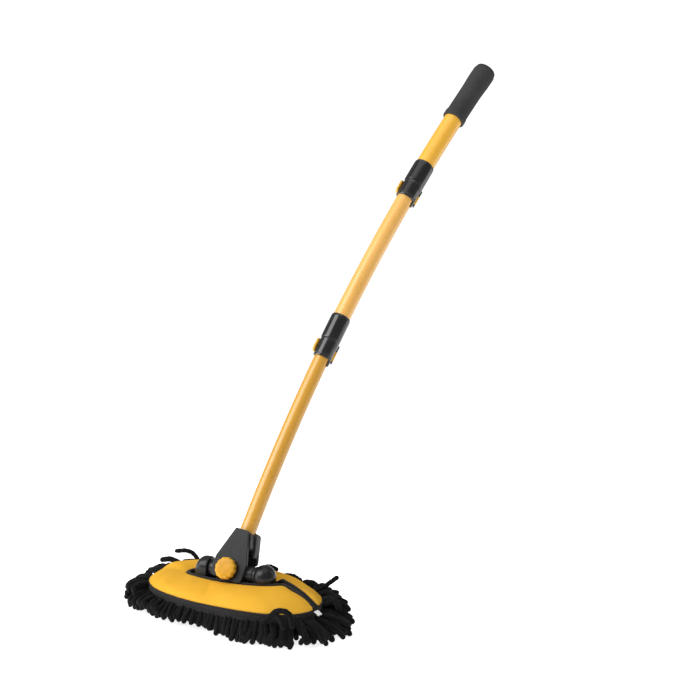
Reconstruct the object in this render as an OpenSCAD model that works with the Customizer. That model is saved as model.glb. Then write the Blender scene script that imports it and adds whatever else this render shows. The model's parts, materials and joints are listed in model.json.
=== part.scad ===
// Chenille mop on a bent three-section telescoping pole, with a two-axis
// swivel hub between the pad and the pole.
// Origin: centre of the sole, Z = 0 at the finger tips. X runs along the pad,
// +Y points away from the user, +Z up. Millimetres.

/* [Pole] */
// Outer diameter of the lower tube
lower_od = 19; // [18:0.5:20]
// Outer diameter of the middle tube
middle_od = 22; // [21.5:0.5:23]
// Outer diameter of the upper tube
upper_od = 25; // [25:0.5:26]
// Wall thickness of every tube
wall = 1; // [0.8:0.1:1.2]
// Radius of the bend that all three tubes share
bend_r = 2700; // [2400:50:3000]
// Distance along the pole from the hub pivot to the lower lock's step
lower_step = 296; // [285:1:310]
// Distance along the pole from the hub pivot to the upper lock's step
upper_step = 538; // [530:1:555]
// Distance along the pole from the hub pivot to the end of the grip
pole_end = 737; // [725:1:760]
// Length of the foam grip
grip_len = 90; // [75:1:95]
// Outer diameter of the foam grip
grip_od = 31; // [29:0.5:34]

/* [Lock collars] */
// Length of the lower collar's sleeve
lower_sleeve = 34; // [28:1:38]
// Length of the upper collar's sleeve
upper_sleeve = 31; // [26:1:34]
// Length of each collar's split clamp ring
clamp_len = 25; // [24:1:27]
// Radial thickness of the yellow lever
lever_t = 4.2; // [3.5:0.1:4.5]

/* [Hub] */
// Height of the hub pivot above the sole
pivot_z = 50.5; // [50:0.5:54]
// Lean of the pole away from the user, degrees from upright
lean = 28.2; // [20:0.1:40]
// Sideways tilt of the pole in the yoke plane, degrees
tilt = 7.2; // [0:0.1:20]
// Half width of the yoke plate at the pivot
yoke_hw = 20.4; // [19:0.1:21]
// Half width of the front yoke plate at its top edge
yoke_top_hw = 9; // [8.5:0.1:11]
// Height of the yoke above the pivot
yoke_h = 46; // [44:1:48]
// Depth from the pivot plane to the yoke's outer faces
yoke_d = 14; // [14:0.5:15]
// Radius of the scalloped tilt knob
knob_r = 12; // [11:0.5:13]

/* [Pad] */
// Half length of the fringe
fringe_a = 136; // [130:1:140]
// Half width of the fringe
fringe_b = 64; // [60:1:72]
// Half length of the yellow cover
cover_a = 104; // [100:1:108]
// Half width of the yellow cover
cover_b = 49.5; // [47:0.5:53]
// Height of the stiff base plate's underside above the sole
plate_z = 18; // [17:0.5:19]
// Height of the cover's crown above the sole
crown_z = 40; // [37:0.5:40.5]

/* [Hidden] */
$fn = 64;

pad_cy = 1;          // the pad's own centre along Y
pivot_y = -2;        // the hub pivot's place along Y
open_a = 66;         // half length of the cover's opening
open_b = 23;         // half width of the cover's opening
open_cx = -4;        // the opening's centre along X
plate_t = 3.4;       // base plate thickness
band_top = 27;       // where the black band meets the yellow cover
bolt_r = 3;          // tilt bolt
trun_r = 3;          // trunnion pins
pin_r = 1.5;         // lever pins
tongue = 8;          // length of the collar's tongue below the clamp ring
hinge_a = 66;        // where the lever pin sits round the tube, degrees from +X
lower_r = lower_od / 2;
middle_r = middle_od / 2;
upper_r = upper_od / 2;
lower_clamp_r = lower_r + 2.3;
upper_clamp_r = middle_r + 2.1;
lower_sleeve_r = middle_r + 1.6;
upper_sleeve_r = upper_r + 1.4;
rad = 180 / PI;

// ---------- shared frames and shapes ----------

module oval(a, b, n = 2.4, steps = 80)
    polygon([for (i = [0 : steps - 1])
        let (t = 360 * (i + 0.5) / steps, c = cos(t), s = sin(t))
        [a * sign(c) * pow(abs(c), 2 / n), b * sign(s) * pow(abs(s), 2 / n)]]);

module at_pad() translate([0, pad_cy, 0]) children();

// the knuckle's frame: leans with the pole about the pad's long axis
module lean_frame() translate([0, pivot_y, pivot_z]) rotate([-lean, 0, 0]) children();

// the yoke's frame: X across the yoke, +Y to its back, Z up the pole
module yoke_frame() lean_frame() rotate([0, tilt, 0]) children();

// a place at distance s along the bent pole, Z along the tube there
module pole_at(s) translate([bend_r, 0, 0]) rotate([0, s / bend_r * rad, 0])
    translate([-bend_r, 0, 0]) children();

// a bent tube or rod between two distances along the pole
module pole_arc(s0, s1, ro, ri = 0)
    translate([bend_r, 0, 0]) rotate([90, 0, 0])
    rotate([0, 0, 180 - s1 / bend_r * rad])
    rotate_extrude(angle = (s1 - s0) / bend_r * rad, $fn = 1440)
    translate([bend_r, 0]) difference() {
        circle(r = ro);
        if (ri > 0) circle(r = ri);
    }

// a wedge between two angles, under 180 degrees apart, for cutting rings
module wedge(a0, a1, z0, z1, r = 60) translate([0, 0, z0]) linear_extrude(z1 - z0)
    polygon([[0, 0], [r * cos(a0), r * sin(a0)],
        [1.5 * r * cos((a0 + a1) / 2), 1.5 * r * sin((a0 + a1) / 2)], [r * cos(a1), r * sin(a1)]]);

// ---------- pad ----------

module chenille_pad() color("#141414") at_pad() {
    linear_extrude(13) oval(fringe_a, fringe_b, 2.4);
    translate([0, 0, 13]) linear_extrude(plate_z - 13) oval(112, 55, 2.4);
}

module base_plate() color("#222222") at_pad() difference() {
    translate([0, 0, plate_z]) linear_extrude(plate_t) oval(90, 38, 2.4);
    for (p = screw_places()) translate([p[0], p[1] - pad_cy, plate_z - 1])
        cylinder(r = 1.6, h = 10);
}

module opening_cut() translate([open_cx, 0, plate_z - 1]) linear_extrude(40) oval(open_a, open_b, 2.2);

// the slit that lets the plate into the cover runs from the opening to the tip
module slit_cut() translate([50, 4, plate_z - 1]) rotate([0, 0, -12])
    translate([0, -1.5, 0]) cube([70, 3, 40]);

module core_solid() translate([0, 0, plate_z + plate_t + 0.2])
    linear_extrude(34 - plate_z - plate_t - 0.2) oval(cover_a - 9, cover_b - 8, 2.4);

module sponge_core() color("#c9b27a") at_pad() difference() {
    core_solid();
    opening_cut();
    slit_cut();
}

module pad_cover() color("#f4be38") at_pad() difference() {
    union() {
        translate([0, 0, band_top]) linear_extrude(5) oval(cover_a, cover_b, 2.4);
        translate([0, 0, band_top + 5]) linear_extrude(4) oval(cover_a - 4, cover_b - 4, 2.4);
        translate([0, 0, band_top + 9]) linear_extrude(crown_z - band_top - 9)
            oval(cover_a - 13, cover_b - 11, 2.4);
    }
    core_solid();
    opening_cut();
    slit_cut();
}

module cover_band() color("#1a1a1a") at_pad() difference() {
    translate([0, 0, plate_z]) linear_extrude(band_top - plate_z) oval(cover_a + 2, cover_b + 2, 2.4);
    translate([0, 0, plate_z - 1]) linear_extrude(20) oval(cover_a - 8.7, cover_b - 7.7, 2.4);
    slit_cut();
}

module opening_binding() color("#181818") at_pad() difference() {
    translate([open_cx, 0, 36]) linear_extrude(crown_z - 36) oval(open_a - 0.1, open_b - 0.1, 2.2);
    translate([open_cx, 0, 30]) linear_extrude(20) oval(open_a - 1.6, open_b - 1.6, 2.2);
    slit_cut();
}

module care_tag() color("white") at_pad() translate([105.5, -17, 18.3]) rotate([0, 0, 72])
    cube([11, 0.8, 6]);

// ---------- hub ----------

function screw_places() = [[-36, -9], [-36, 5], [40, -10], [40, 6]];

module pillow_holes() {
    for (p = screw_places()) translate([p[0], p[1], plate_z - 2]) cylinder(r = 1.5, h = 12);
    translate([-45, pivot_y, pivot_z]) rotate([0, 90, 0]) cylinder(r = trun_r, h = 90);
}

module left_pillow_block() color("#202020") difference() {
    union() {
        intersection() {
            translate([-35, pivot_y, pivot_z]) sphere(r = 12);
            translate([-58.2, pivot_y - 20, pivot_z]) cube([30, 40, 20]);
        }
        intersection() {
            translate([-35, pivot_y, plate_z + plate_t]) cylinder(r = 11.6, h = pivot_z - plate_z - plate_t);
            translate([-58.2, pivot_y - 20, plate_z]) cube([30, 40, 40]);
        }
    }
    pillow_holes();
}

module right_pillow_block() color("#202020") difference() {
    union() {
        intersection() {
            translate([40, pivot_y, pivot_z]) sphere(r = 13.2);
            translate([28.2, pivot_y - 20, pivot_z]) cube([30, 40, 20]);
        }
        intersection() {
            translate([40, pivot_y, plate_z + plate_t]) cylinder(r = 12.8, h = pivot_z - plate_z - plate_t);
            translate([28.2, pivot_y - 20, plate_z]) cube([30, 40, 40]);
        }
    }
    pillow_holes();
}

module trunnion_pins() color("silver") for (x = [[-44.5, 28], [16.5, 28]])
    translate([x[0], pivot_y, pivot_z]) rotate([0, 90, 0]) cylinder(r = trun_r, h = x[1]);

module pillow_screws() color("silver") for (p = screw_places())
    translate([p[0], p[1], plate_z + plate_t / 2]) cylinder(r = 1.5, h = 8);

module knuckle() color("#242424") lean_frame() difference() {
    union() {
        rotate([90, 0, 0]) translate([0, 0, -8.7]) cylinder(r = 15, h = 17.4);
        translate([-27.9, 0, 0]) rotate([0, 90, 0]) cylinder(r = 8.7, h = 18.9);
        translate([9, 0, 0]) rotate([0, 90, 0]) cylinder(r = 8.7, h = 18.9);
    }
    rotate([90, 0, 0]) translate([0, 0, -20]) cylinder(r = bolt_r + 0.06, h = 40);
    translate([-40, 0, 0]) rotate([0, 90, 0]) cylinder(r = trun_r + 0.06, h = 24);
    translate([16, 0, 0]) rotate([0, 90, 0]) cylinder(r = trun_r + 0.06, h = 24);
}

// front outline of a yoke plate, X across and Y up
module yoke_outline(top_hw, top_h, low) hull() {
    for (s = [-1, 1]) {
        translate([s * (top_hw - 2), top_h - 2]) circle(r = 2, $fn = 32);
        translate([s * (yoke_hw - 4), 10]) circle(r = 4, $fn = 32);
        translate([s * (yoke_hw - 5), low + 5]) circle(r = 5, $fn = 32);
    }
}

// stands an outline up in the yoke's plane, from y0 back to y1
module yoke_slab(y0, y1) translate([0, y1, 0]) rotate([90, 0, 0]) linear_extrude(y1 - y0) children();

module socket_bore() {
    pole_arc(24.8, 60, lower_r + 0.02);
    rotate([90, 0, 0]) translate([0, 0, -30]) cylinder(r = bolt_r + 0.06, h = 60);
    for (p = yoke_screw_places()) translate([p[0], 0, p[1]]) rotate([90, 0, 0])
        translate([0, 0, -30]) cylinder(r = 1.25, h = 33);
    translate([0, 30, 36]) rotate([90, 0, 0]) cylinder(r = 1.5, h = 26);
}

function yoke_screw_places() = [[-12.3, 32], [12.3, 32]];

module yoke_front_shell() color("#232323") yoke_frame() difference() {
    union() {
        yoke_slab(-yoke_d, -9.2) yoke_outline(yoke_top_hw, yoke_h, -11);
        yoke_slab(-9.3, -0.2) polygon([[-10.5, yoke_h - 1], [10.5, yoke_h - 1], [15.5, 30],
            [15.5, 28.5], [11, 24.6], [-11, 24.6], [-15.5, 28.5], [-15.5, 30]]);
    }
    socket_bore();
}

module yoke_rear_shell() color("#232323") yoke_frame() difference() {
    union() {
        yoke_slab(9.2, yoke_d) polygon([[-12.5, yoke_h + 1], [12.5, yoke_h + 1], [21, 17], [21, 14],
            [13, 9], [-13, 9], [-21, 14], [-21, 17]]);
        yoke_slab(0, 9.3) polygon([[-12.5, yoke_h + 1], [12.5, yoke_h + 1], [18, 28], [18.8, 20.5],
            [15, 20.5], [13, 24.6], [-13, 24.6], [-15, 20.5], [-18.8, 20.5], [-18, 28]]);
        rotate([-90, 0, 0]) translate([0, 0, 9.2]) cylinder(r = 13.5, h = yoke_d - 9.2);
    }
    socket_bore();
}

module yoke_screws() color("silver") yoke_frame() for (p = yoke_screw_places())
    translate([p[0], 0, p[1]]) rotate([-90, 0, 0]) translate([0, 0, -2.5]) {
        cylinder(r = 1.25, h = 16.6);
        translate([0, 0, 16.5]) cylinder(r = 2.6, h = 1.6);
    }

module pole_fixing_screw() color("silver") yoke_frame() translate([0, 0, 36]) rotate([-90, 0, 0]) {
    translate([0, 0, 5]) cylinder(r = 1.5, h = 9.1);
    translate([0, 0, 14]) cylinder(r = 3, h = 1.8);
}

module tilt_nut() color("silver") yoke_frame() rotate([-90, 0, 0]) translate([0, 0, yoke_d]) difference() {
    cylinder(r = 6, h = 4.5, $fn = 6);
    translate([0, 0, -1]) cylinder(r = bolt_r + 0.06, h = 8);
}

module tilt_bolt() color("silver") yoke_frame() rotate([90, 0, 0]) translate([0, 0, -18])
    cylinder(r = bolt_r, h = 36);

// a scalloped knob on a plain boss
module tilt_knob() color("#f2b92c") yoke_frame() rotate([90, 0, 0]) difference() {
    union() {
        translate([0, 0, yoke_d + 0.3]) cylinder(r = 7, h = 2);
        translate([0, 0, yoke_d + 1.2]) linear_extrude(8) difference() {
            circle(r = knob_r);
            for (i = [0 : 11]) rotate(i * 30 + 15) translate([knob_r + 1.6, 0]) circle(r = 2.4, $fn = 24);
        }
        translate([0, 0, yoke_d + 9]) cylinder(r = knob_r - 2.5, h = 0.8);
    }
    translate([0, 0, yoke_d - 1]) cylinder(r = bolt_r, h = 5);
}

// ---------- pole ----------

module lower_tube() color("#e0a63a") yoke_frame() difference() {
    pole_arc(25, lower_step + 56, lower_r, lower_r - wall);
    translate([0, 30, 36]) rotate([90, 0, 0]) cylinder(r = 1.5, h = 26);
}

module lower_guide_bush() color("#2a2a2a") yoke_frame()
    pole_arc(lower_step + 56, lower_step + 66, middle_r - wall - 0.06, lower_r - wall);

module middle_tube() color("#e8ae40") yoke_frame()
    pole_arc(lower_step + 1.5, upper_step + 46, middle_r, middle_r - wall);

module middle_guide_bush() color("#2a2a2a") yoke_frame()
    pole_arc(upper_step + 46, upper_step + 56, upper_r - wall - 0.06, middle_r - wall);

module upper_tube() color("#eeb548") yoke_frame()
    pole_arc(upper_step + 1.5, pole_end - 5, upper_r, upper_r - wall);

module foam_grip() color("#1c1c1c") yoke_frame() difference() {
    pole_arc(pole_end - grip_len, pole_end - 3.2, grip_od / 2);
    pole_arc(pole_end - grip_len - 5, pole_end + 5, upper_r);
}

module grip_plug() color("#202020") yoke_frame() {
    pole_arc(pole_end - 3, pole_end, grip_od / 2 - 1);
    pole_arc(pole_end - 16, pole_end - 4.8, upper_r - wall);
    pole_arc(pole_end - 5, pole_end - 3, upper_r);
}

// ---------- flip locks ----------
// Z = 0 at the step between the sleeve, above, and the split clamp ring, below

module lock_collar(tube_r, inner_r, sleeve_r, sleeve_len, clamp_r) {
    hp = clamp_r + 3.3;
    difference() {
        union() {
            cylinder(r = sleeve_r - 0.7, h = sleeve_len);
            cylinder(r = sleeve_r, h = sleeve_len - 1.2);
            translate([0, 0, -clamp_len]) cylinder(r = clamp_r, h = clamp_len + 1);
            // lug that carries the wide part on below the step
            intersection() {
                translate([0, 0, -7.6]) cylinder(r = sleeve_r - 0.2, h = 8.6);
                wedge(-12, hinge_a + 5, -9, 2);
            }
            // hinge knuckles
            for (z = [[-8, 8.5], [-clamp_len + 0.3, 3.3]]) rotate(hinge_a) {
                translate([inner_r + 1, -2.2, z[0]]) cube([hp - inner_r - 1, 4.4, z[1]]);
                translate([hp, 0, z[0]]) cylinder(r = 2.7, h = z[1]);
            }
            // guide tongue along the inner tube
            rotate(12) translate([inner_r + 0.6, -2.1, -clamp_len - tongue]) cube([1.2, 4.2, tongue + 4]);
        }
        // bore on the inner tube, then the seat of the outer tube
        translate([0, 0, -clamp_len - 2]) cylinder(r = inner_r + 0.35, h = clamp_len + 5);
        translate([0, 0, 1.3]) cylinder(r = tube_r + 0.25, h = sleeve_len + 10);
        // split
        rotate(hinge_a + 24) translate([0, -0.8, -clamp_len - 1]) cube([30, 1.6, clamp_len + 0.5]);
        rotate(hinge_a) translate([hp, 0, -clamp_len - 1]) cylinder(r = pin_r, h = clamp_len + 0.4);
    }
}

module lock_lever(clamp_r) {
    hp = clamp_r + 3.3;
    r0 = clamp_r + 0.4;
    z0 = -clamp_len + 3.9;
    difference() {
        union() {
            difference() {
                translate([0, 0, z0 + 0.4]) cylinder(r = r0 + lever_t, h = -1.9 - z0);
                translate([0, 0, z0 - 1]) cylinder(r = r0, h = 40);
                wedge(208, 310, z0 - 1, 5);
                wedge(300, 360 + hinge_a + 8, z0 - 1, 5);
                wedge(hinge_a - 10, hinge_a + 32, -8.7, 5);
            }
            // finger tab at the free end
            rotate(208) translate([r0 + 0.8, -1, z0 + 1]) cube([lever_t - 1.4, 3.6, -3.5 - z0]);
            rotate(hinge_a) translate([hp, 0, z0]) cylinder(r = 2.8, h = -8.3 - z0);
        }
        rotate(hinge_a) translate([hp, 0, -clamp_len]) cylinder(r = pin_r + 0.06, h = clamp_len);
    }
}

module lock_pin(clamp_r) rotate(hinge_a) translate([clamp_r + 3.3, 0, -clamp_len + 0.2])
    cylinder(r = pin_r, h = clamp_len - 1);

module lower_lock_collar() color("#1e1e1e") yoke_frame() pole_at(lower_step)
    lock_collar(middle_r, lower_r, lower_sleeve_r, lower_sleeve, lower_clamp_r);
module lower_lock_lever() color("#f2b92c") yoke_frame() pole_at(lower_step) lock_lever(lower_clamp_r);
module lower_lock_pin() color("silver") yoke_frame() pole_at(lower_step) lock_pin(lower_clamp_r);

module upper_lock_collar() color("#1e1e1e") yoke_frame() pole_at(upper_step)
    lock_collar(upper_r, middle_r, upper_sleeve_r, upper_sleeve, upper_clamp_r);
module upper_lock_lever() color("#f2b92c") yoke_frame() pole_at(upper_step) lock_lever(upper_clamp_r);
module upper_lock_pin() color("silver") yoke_frame() pole_at(upper_step) lock_pin(upper_clamp_r);

// ---------- assembly ----------

chenille_pad();
base_plate();
sponge_core();
pad_cover();
cover_band();
opening_binding();
care_tag();
left_pillow_block();
right_pillow_block();
trunnion_pins();
pillow_screws();
knuckle();
yoke_front_shell();
yoke_rear_shell();
yoke_screws();
pole_fixing_screw();
tilt_nut();
tilt_bolt();
tilt_knob();
lower_tube();
lower_guide_bush();
lower_lock_collar();
lower_lock_lever();
lower_lock_pin();
middle_tube();
middle_guide_bush();
upper_lock_collar();
upper_lock_lever();
upper_lock_pin();
upper_tube();
foam_grip();
grip_plug();
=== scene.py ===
import bpy, bmesh, json, math
import numpy as np
from mathutils import Vector, Matrix, noise


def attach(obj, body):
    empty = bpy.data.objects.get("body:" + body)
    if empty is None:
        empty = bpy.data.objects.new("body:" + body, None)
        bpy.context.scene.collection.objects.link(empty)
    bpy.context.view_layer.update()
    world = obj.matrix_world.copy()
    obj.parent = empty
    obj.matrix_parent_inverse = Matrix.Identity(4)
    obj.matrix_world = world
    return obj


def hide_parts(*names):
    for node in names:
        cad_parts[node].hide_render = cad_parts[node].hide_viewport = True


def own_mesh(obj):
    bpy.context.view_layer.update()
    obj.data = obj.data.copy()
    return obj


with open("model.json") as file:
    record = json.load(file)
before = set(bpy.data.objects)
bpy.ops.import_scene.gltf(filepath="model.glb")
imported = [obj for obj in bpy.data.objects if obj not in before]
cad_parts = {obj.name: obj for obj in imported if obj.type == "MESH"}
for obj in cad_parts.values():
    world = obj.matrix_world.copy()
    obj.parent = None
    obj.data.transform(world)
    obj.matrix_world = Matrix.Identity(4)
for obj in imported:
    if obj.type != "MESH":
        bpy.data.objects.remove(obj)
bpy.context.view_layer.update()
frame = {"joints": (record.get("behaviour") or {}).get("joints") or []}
SC = bpy.context.scene
rng = np.random.default_rng(20417)

# ------------------------------------------------------------------ frames (mm)
JT = {j["name"]: j for j in frame["joints"]}
J = np.array(JT["head_lean"]["pos_m"]) * 1000
YL = np.array(JT["head_tilt"]["axis"]); YL = YL / np.linalg.norm(YL)
_c = np.array(JT["lower_telescope"]["pos_m"]) * 1000 - J
R = float(np.linalg.norm(_c)); U = _c / R
T = np.cross(U, YL)
XW = np.array([1., 0, 0]); ZL = np.cross(XW, YL)


class F:
    def __init__(self, o, x, y, z):
        self.o, self.m = np.array(o, float), np.array([x, y, z], float)

    def __call__(self, p):
        return self.o + np.asarray(p, float) @ self.m


def pole(s):
    c, n = math.cos(s / R), math.sin(s / R)
    return F(J + R * (1 - c) * U + R * n * T, c * U - n * T, YL, n * U + c * T)


LEAN = F(J, XW, YL, ZL)
YOKE = F(J, U, YL, T)
ARC = lambda s: pole(s)


def straight(f):
    return lambda z: F(f.o + z * f.m[2], *f.m)


# ------------------------------------------------------------------ mesh helpers
def add(name, V, Fc, body, mat, nodes=(), sharp=34, bevel=None, seg=3, sub=0):
    me = bpy.data.meshes.new(name)
    me.from_pydata((np.asarray(V) * 0.001).tolist(), [], [list(map(int, f)) for f in Fc])
    me.validate()
    bm = bmesh.new(); bm.from_mesh(me)
    bmesh.ops.recalc_face_normals(bm, faces=bm.faces)
    bm.to_mesh(me); bm.free()
    ob = bpy.data.objects.new(name, me)
    SC.collection.objects.link(ob)
    me.materials.append(mat)
    if bevel:
        b = ob.modifiers.new("bevel", "BEVEL")
        b.width, b.segments, b.limit_method = bevel * 0.001, seg, "ANGLE"
        b.angle_limit = math.radians(28)
        b.miter_outer = "MITER_ARC"
        b.use_clamp_overlap = True
    if sub:
        m = ob.modifiers.new("sub", "SUBSURF"); m.levels = m.render_levels = sub
    if bevel or sub:
        bake(ob)
    ob.data.shade_smooth()
    ob.data.set_sharp_from_angle(angle=math.radians(sharp))
    if bevel:
        w = ob.modifiers.new("wn", "WEIGHTED_NORMAL"); w.keep_sharp = True; w.weight = 60
        bake(ob)
    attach(ob, body)
    if nodes:
        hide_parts(*nodes)
    return ob


def bake(ob):
    dg = bpy.context.evaluated_depsgraph_get()
    dg.update()
    new = bpy.data.meshes.new_from_object(ob.evaluated_get(dg), preserve_all_data_layers=True, depsgraph=dg)
    old = ob.data
    ob.modifiers.clear()
    ob.data = new
    nm = old.name
    bpy.data.meshes.remove(old)
    new.name = nm


def merge(parts):
    """several (V, F) into one"""
    V, Fc, n = [], [], 0
    for v, f in parts:
        v = np.asarray(v, float)
        V.append(v); Fc += [[i + n for i in q] for q in f]; n += len(v)
    return np.concatenate(V), Fc


def grid(rings, wrap_u=True, wrap_v=False, cap=True):
    """rings: (nv, nu, 3)"""
    A = np.asarray(rings, float); nv, nu = A.shape[:2]
    Fc = []
    for i in range(nv if wrap_v else nv - 1):
        for k in range(nu if wrap_u else nu - 1):
            a, b = i, (i + 1) % nv
            c, d = k, (k + 1) % nu
            Fc.append([a * nu + c, a * nu + d, b * nu + d, b * nu + c])
    if cap and not wrap_v:
        Fc.append(list(range(nu))[::-1]); Fc.append([(nv - 1) * nu + k for k in range(nu)])
    return A.reshape(-1, 3), Fc


def revolve(prof, place, seg=72, lobes=None):
    """closed (r, z) loop turned round the place's Z: a ring-shaped solid"""
    rings = []
    for a in np.linspace(0, 2 * math.pi, seg, endpoint=False):
        rings.append([place(z)([r * math.cos(a), r * math.sin(a), 0]) for r, z in prof])
    return grid(rings, True, True)


def lathe(prof, place, seg=72, mod=None):
    """(r, z) line from axis to axis; ends closed with a point"""
    rings = []
    for r, z in prof[1:-1]:
        f = place(z)
        rings.append([f([(r + (mod(a, r, z) if mod else 0)) * math.cos(a),
                         (r + (mod(a, r, z) if mod else 0)) * math.sin(a), 0])
                      for a in np.linspace(0, 2 * math.pi, seg, endpoint=False)])
    V, Fc = grid(rings, True, False, cap=False)
    n = len(V); last = n - seg
    V = np.concatenate([V, [place(prof[0][1])([0, 0, 0])], [place(prof[-1][1])([0, 0, 0])]])
    for k in range(seg):
        Fc.append([n, (k + 1) % seg, k]); Fc.append([n + 1, last + k, last + (k + 1) % seg])
    return V, Fc


def arc_solid(fn, a0, a1, place, n=24, end=0.5):
    """loop fn(angle) of (r, z) swept from a0 to a1 degrees, with rounded ends"""
    d = abs(a1 - a0)
    p0 = np.array(fn((a0 + a1) / 2), float)
    rm = p0[:, 0].mean()
    e = math.degrees(end / rm)
    stops = [(a0, 1.0), (a0 + 0.3 * e, 0.45), (a0 + e, 0.0)] + \
            [(a0 + e + (d - 2 * e) * i / n, 0.0) for i in range(1, n)] + \
            [(a1 - e, 0.0), (a1 - 0.3 * e, 0.45), (a1, 1.0)]
    rings = []
    for a, sh in stops:
        p = np.array(fn(a), float)
        c = p.mean(0)
        if sh:
            q = p - c
            ext = np.abs(q).max(0)
            p = c + q * (1 - np.minimum(0.9, sh * end / np.maximum(ext, 1e-6)))
        r = math.radians(a)
        rings.append([place(z)([rr * math.cos(r), rr * math.sin(r), 0]) for rr, z in p])
    return grid(rings, True, False)


def rounded(pts, rad, seg=4):
    """round the corners of a closed 2D polygon; rad is one number or one per corner"""
    pts = [np.array(p, float) for p in pts]
    n = len(pts); out = []
    rad = rad if hasattr(rad, "__len__") else [rad] * n
    for i, p in enumerate(pts):
        a, b = pts[i - 1] - p, pts[(i + 1) % n] - p
        la, lb = np.linalg.norm(a), np.linalg.norm(b)
        r = min(rad[i], 0.49 * la, 0.49 * lb)
        if r < 1e-4:
            out.append(p); continue
        A, B = p + a / la * r, p + b / lb * r
        for k in range(seg + 1):
            t = k / seg
            out.append((1 - t) ** 2 * A + 2 * t * (1 - t) * p + t * t * B)
    return [tuple(q) for q in out]


def hull(circles, n=40):
    pts = []
    for x, y, r in circles:
        for a in np.linspace(0, 2 * math.pi, n, endpoint=False):
            pts.append((x + r * math.cos(a), y + r * math.sin(a)))
    pts = sorted(set((round(x, 5), round(y, 5)) for x, y in pts))
    def half(ps):
        h = []
        for p in ps:
            while len(h) > 1 and (h[-1][0] - h[-2][0]) * (p[1] - h[-2][1]) - (h[-1][1] - h[-2][1]) * (p[0] - h[-2][0]) <= 1e-9:
                h.pop()
            h.append(p)
        return h
    a, b = half(pts), half(pts[::-1])
    return a[:-1] + b[:-1]


def prism(poly, y0, y1, f, layers=None):
    """outline in the frame's XZ plane, from y0 to y1; layers = [(y, inset)] for shaped edges"""
    P = np.array(poly, float)
    c = P.mean(0)
    # outward normals for insets
    nx = np.roll(P, -1, 0) - np.roll(P, 1, 0)
    nrm = np.stack([nx[:, 1], -nx[:, 0]], 1)
    nrm /= np.maximum(np.linalg.norm(nrm, axis=1, keepdims=True), 1e-9)
    if ((P - c) * nrm).sum(1).mean() < 0:
        nrm = -nrm
    layers = layers or [(y0, 0), (y1, 0)]
    rings = []
    for y, ins in layers:
        Q = P - nrm * ins
        rings.append(f(np.stack([Q[:, 0], np.full(len(Q), y), Q[:, 1]], 1)))
    return grid(rings, True, False)


def edge_layers(y0, y1, r, n=4):
    out = []
    for k in range(n + 1):
        a = math.pi / 2 * k / n
        out.append((y0 + r * (1 - math.sin(a)), r * (1 - math.cos(a))))
    out = out[::-1]
    lo = [(y0 + r * (1 - math.cos(math.pi / 2 * k / n)), r * (1 - math.sin(math.pi / 2 * k / n))) for k in range(n + 1)]
    hi = [(y1 - r * (1 - math.cos(math.pi / 2 * k / n)), r * (1 - math.sin(math.pi / 2 * k / n))) for k in range(n, -1, -1)]
    return lo + hi


def super_pt(a, b, n, th):
    c, s = math.cos(th), math.sin(th)
    return np.array([a * math.copysign(abs(c) ** (2 / n), c), b * math.copysign(abs(s) ** (2 / n), s)])


def even(fn, n, t0=0, t1=2 * math.pi, closed=True):
    """n points evenly spaced by length on a plane curve fn(t)"""
    ts = np.linspace(t0, t1, 2400)
    P = np.array([fn(t) for t in ts])
    d = np.concatenate([[0], np.cumsum(np.linalg.norm(np.diff(P, axis=0), axis=1))])
    w = np.linspace(0, d[-1], n, endpoint=not closed)
    return np.stack([np.interp(w, d, P[:, k]) for k in range(P.shape[1])], 1), d[-1]


def normals2(P, closed=True):
    if closed:
        d = np.roll(P, -1, 0) - np.roll(P, 1, 0)
    else:
        d = np.gradient(P, axis=0)
    n = np.stack([d[:, 1], -d[:, 0]], 1)
    return n / np.maximum(np.linalg.norm(n, axis=1, keepdims=True), 1e-9)


# ------------------------------------------------------------------ materials
def new_mat(name):
    m = bpy.data.materials.new(name); m.use_nodes = True
    nt = m.node_tree; b = nt.nodes["Principled BSDF"]
    tc = nt.nodes.new("ShaderNodeTexCoord")
    return m, nt, b, tc.outputs["Object"]


def N(nt, kind, **kw):
    n = nt.nodes.new(kind)
    for k, v in kw.items():
        if k in n.inputs:
            n.inputs[k].default_value = v
        else:
            setattr(n, k, v)
    return n


def nz(nt, co, scale, detail=4, rough=0.55, dist=0.0, vec=None):
    n = N(nt, "ShaderNodeTexNoise", Scale=scale, Detail=detail, Roughness=rough, Distortion=dist)
    if vec is not None:
        mp = N(nt, "ShaderNodeMapping"); mp.inputs["Scale"].default_value = vec
        nt.links.new(co, mp.inputs["Vector"]); co = mp.outputs["Vector"]
    nt.links.new(co, n.inputs["Vector"])
    return n.outputs["Fac"]


def ramp(nt, fac, stops):
    r = N(nt, "ShaderNodeValToRGB")
    e = r.color_ramp.elements
    e[0].position, e[0].color = stops[0][0], (*stops[0][1], 1)
    e[1].position, e[1].color = stops[-1][0], (*stops[-1][1], 1)
    for p, c in stops[1:-1]:
        x = e.new(p); x.color = (*c, 1)
    nt.links.new(fac, r.inputs["Fac"])
    return r.outputs["Color"]


def rngmap(nt, fac, a, b, lo=0.3, hi=0.7):
    m = N(nt, "ShaderNodeMapRange")
    m.inputs["From Min"].default_value, m.inputs["From Max"].default_value = lo, hi
    m.inputs["To Min"].default_value, m.inputs["To Max"].default_value = a, b
    nt.links.new(fac, m.inputs["Value"])
    return m.outputs["Result"]


def bump(nt, b, layers):
    """layers: (height output, distance m, strength)"""
    prev = None
    for h, dist, st in layers:
        n = N(nt, "ShaderNodeBump", Strength=st, Distance=dist)
        nt.links.new(h, n.inputs["Height"])
        if prev is not None:
            nt.links.new(prev, n.inputs["Normal"])
        prev = n.outputs["Normal"]
    nt.links.new(prev, b.inputs["Normal"])


def lin(c):
    return tuple((x / 255 / 12.92 if x / 255 <= 0.04045 else ((x / 255 + 0.055) / 1.055) ** 2.4) for x in c)


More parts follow.
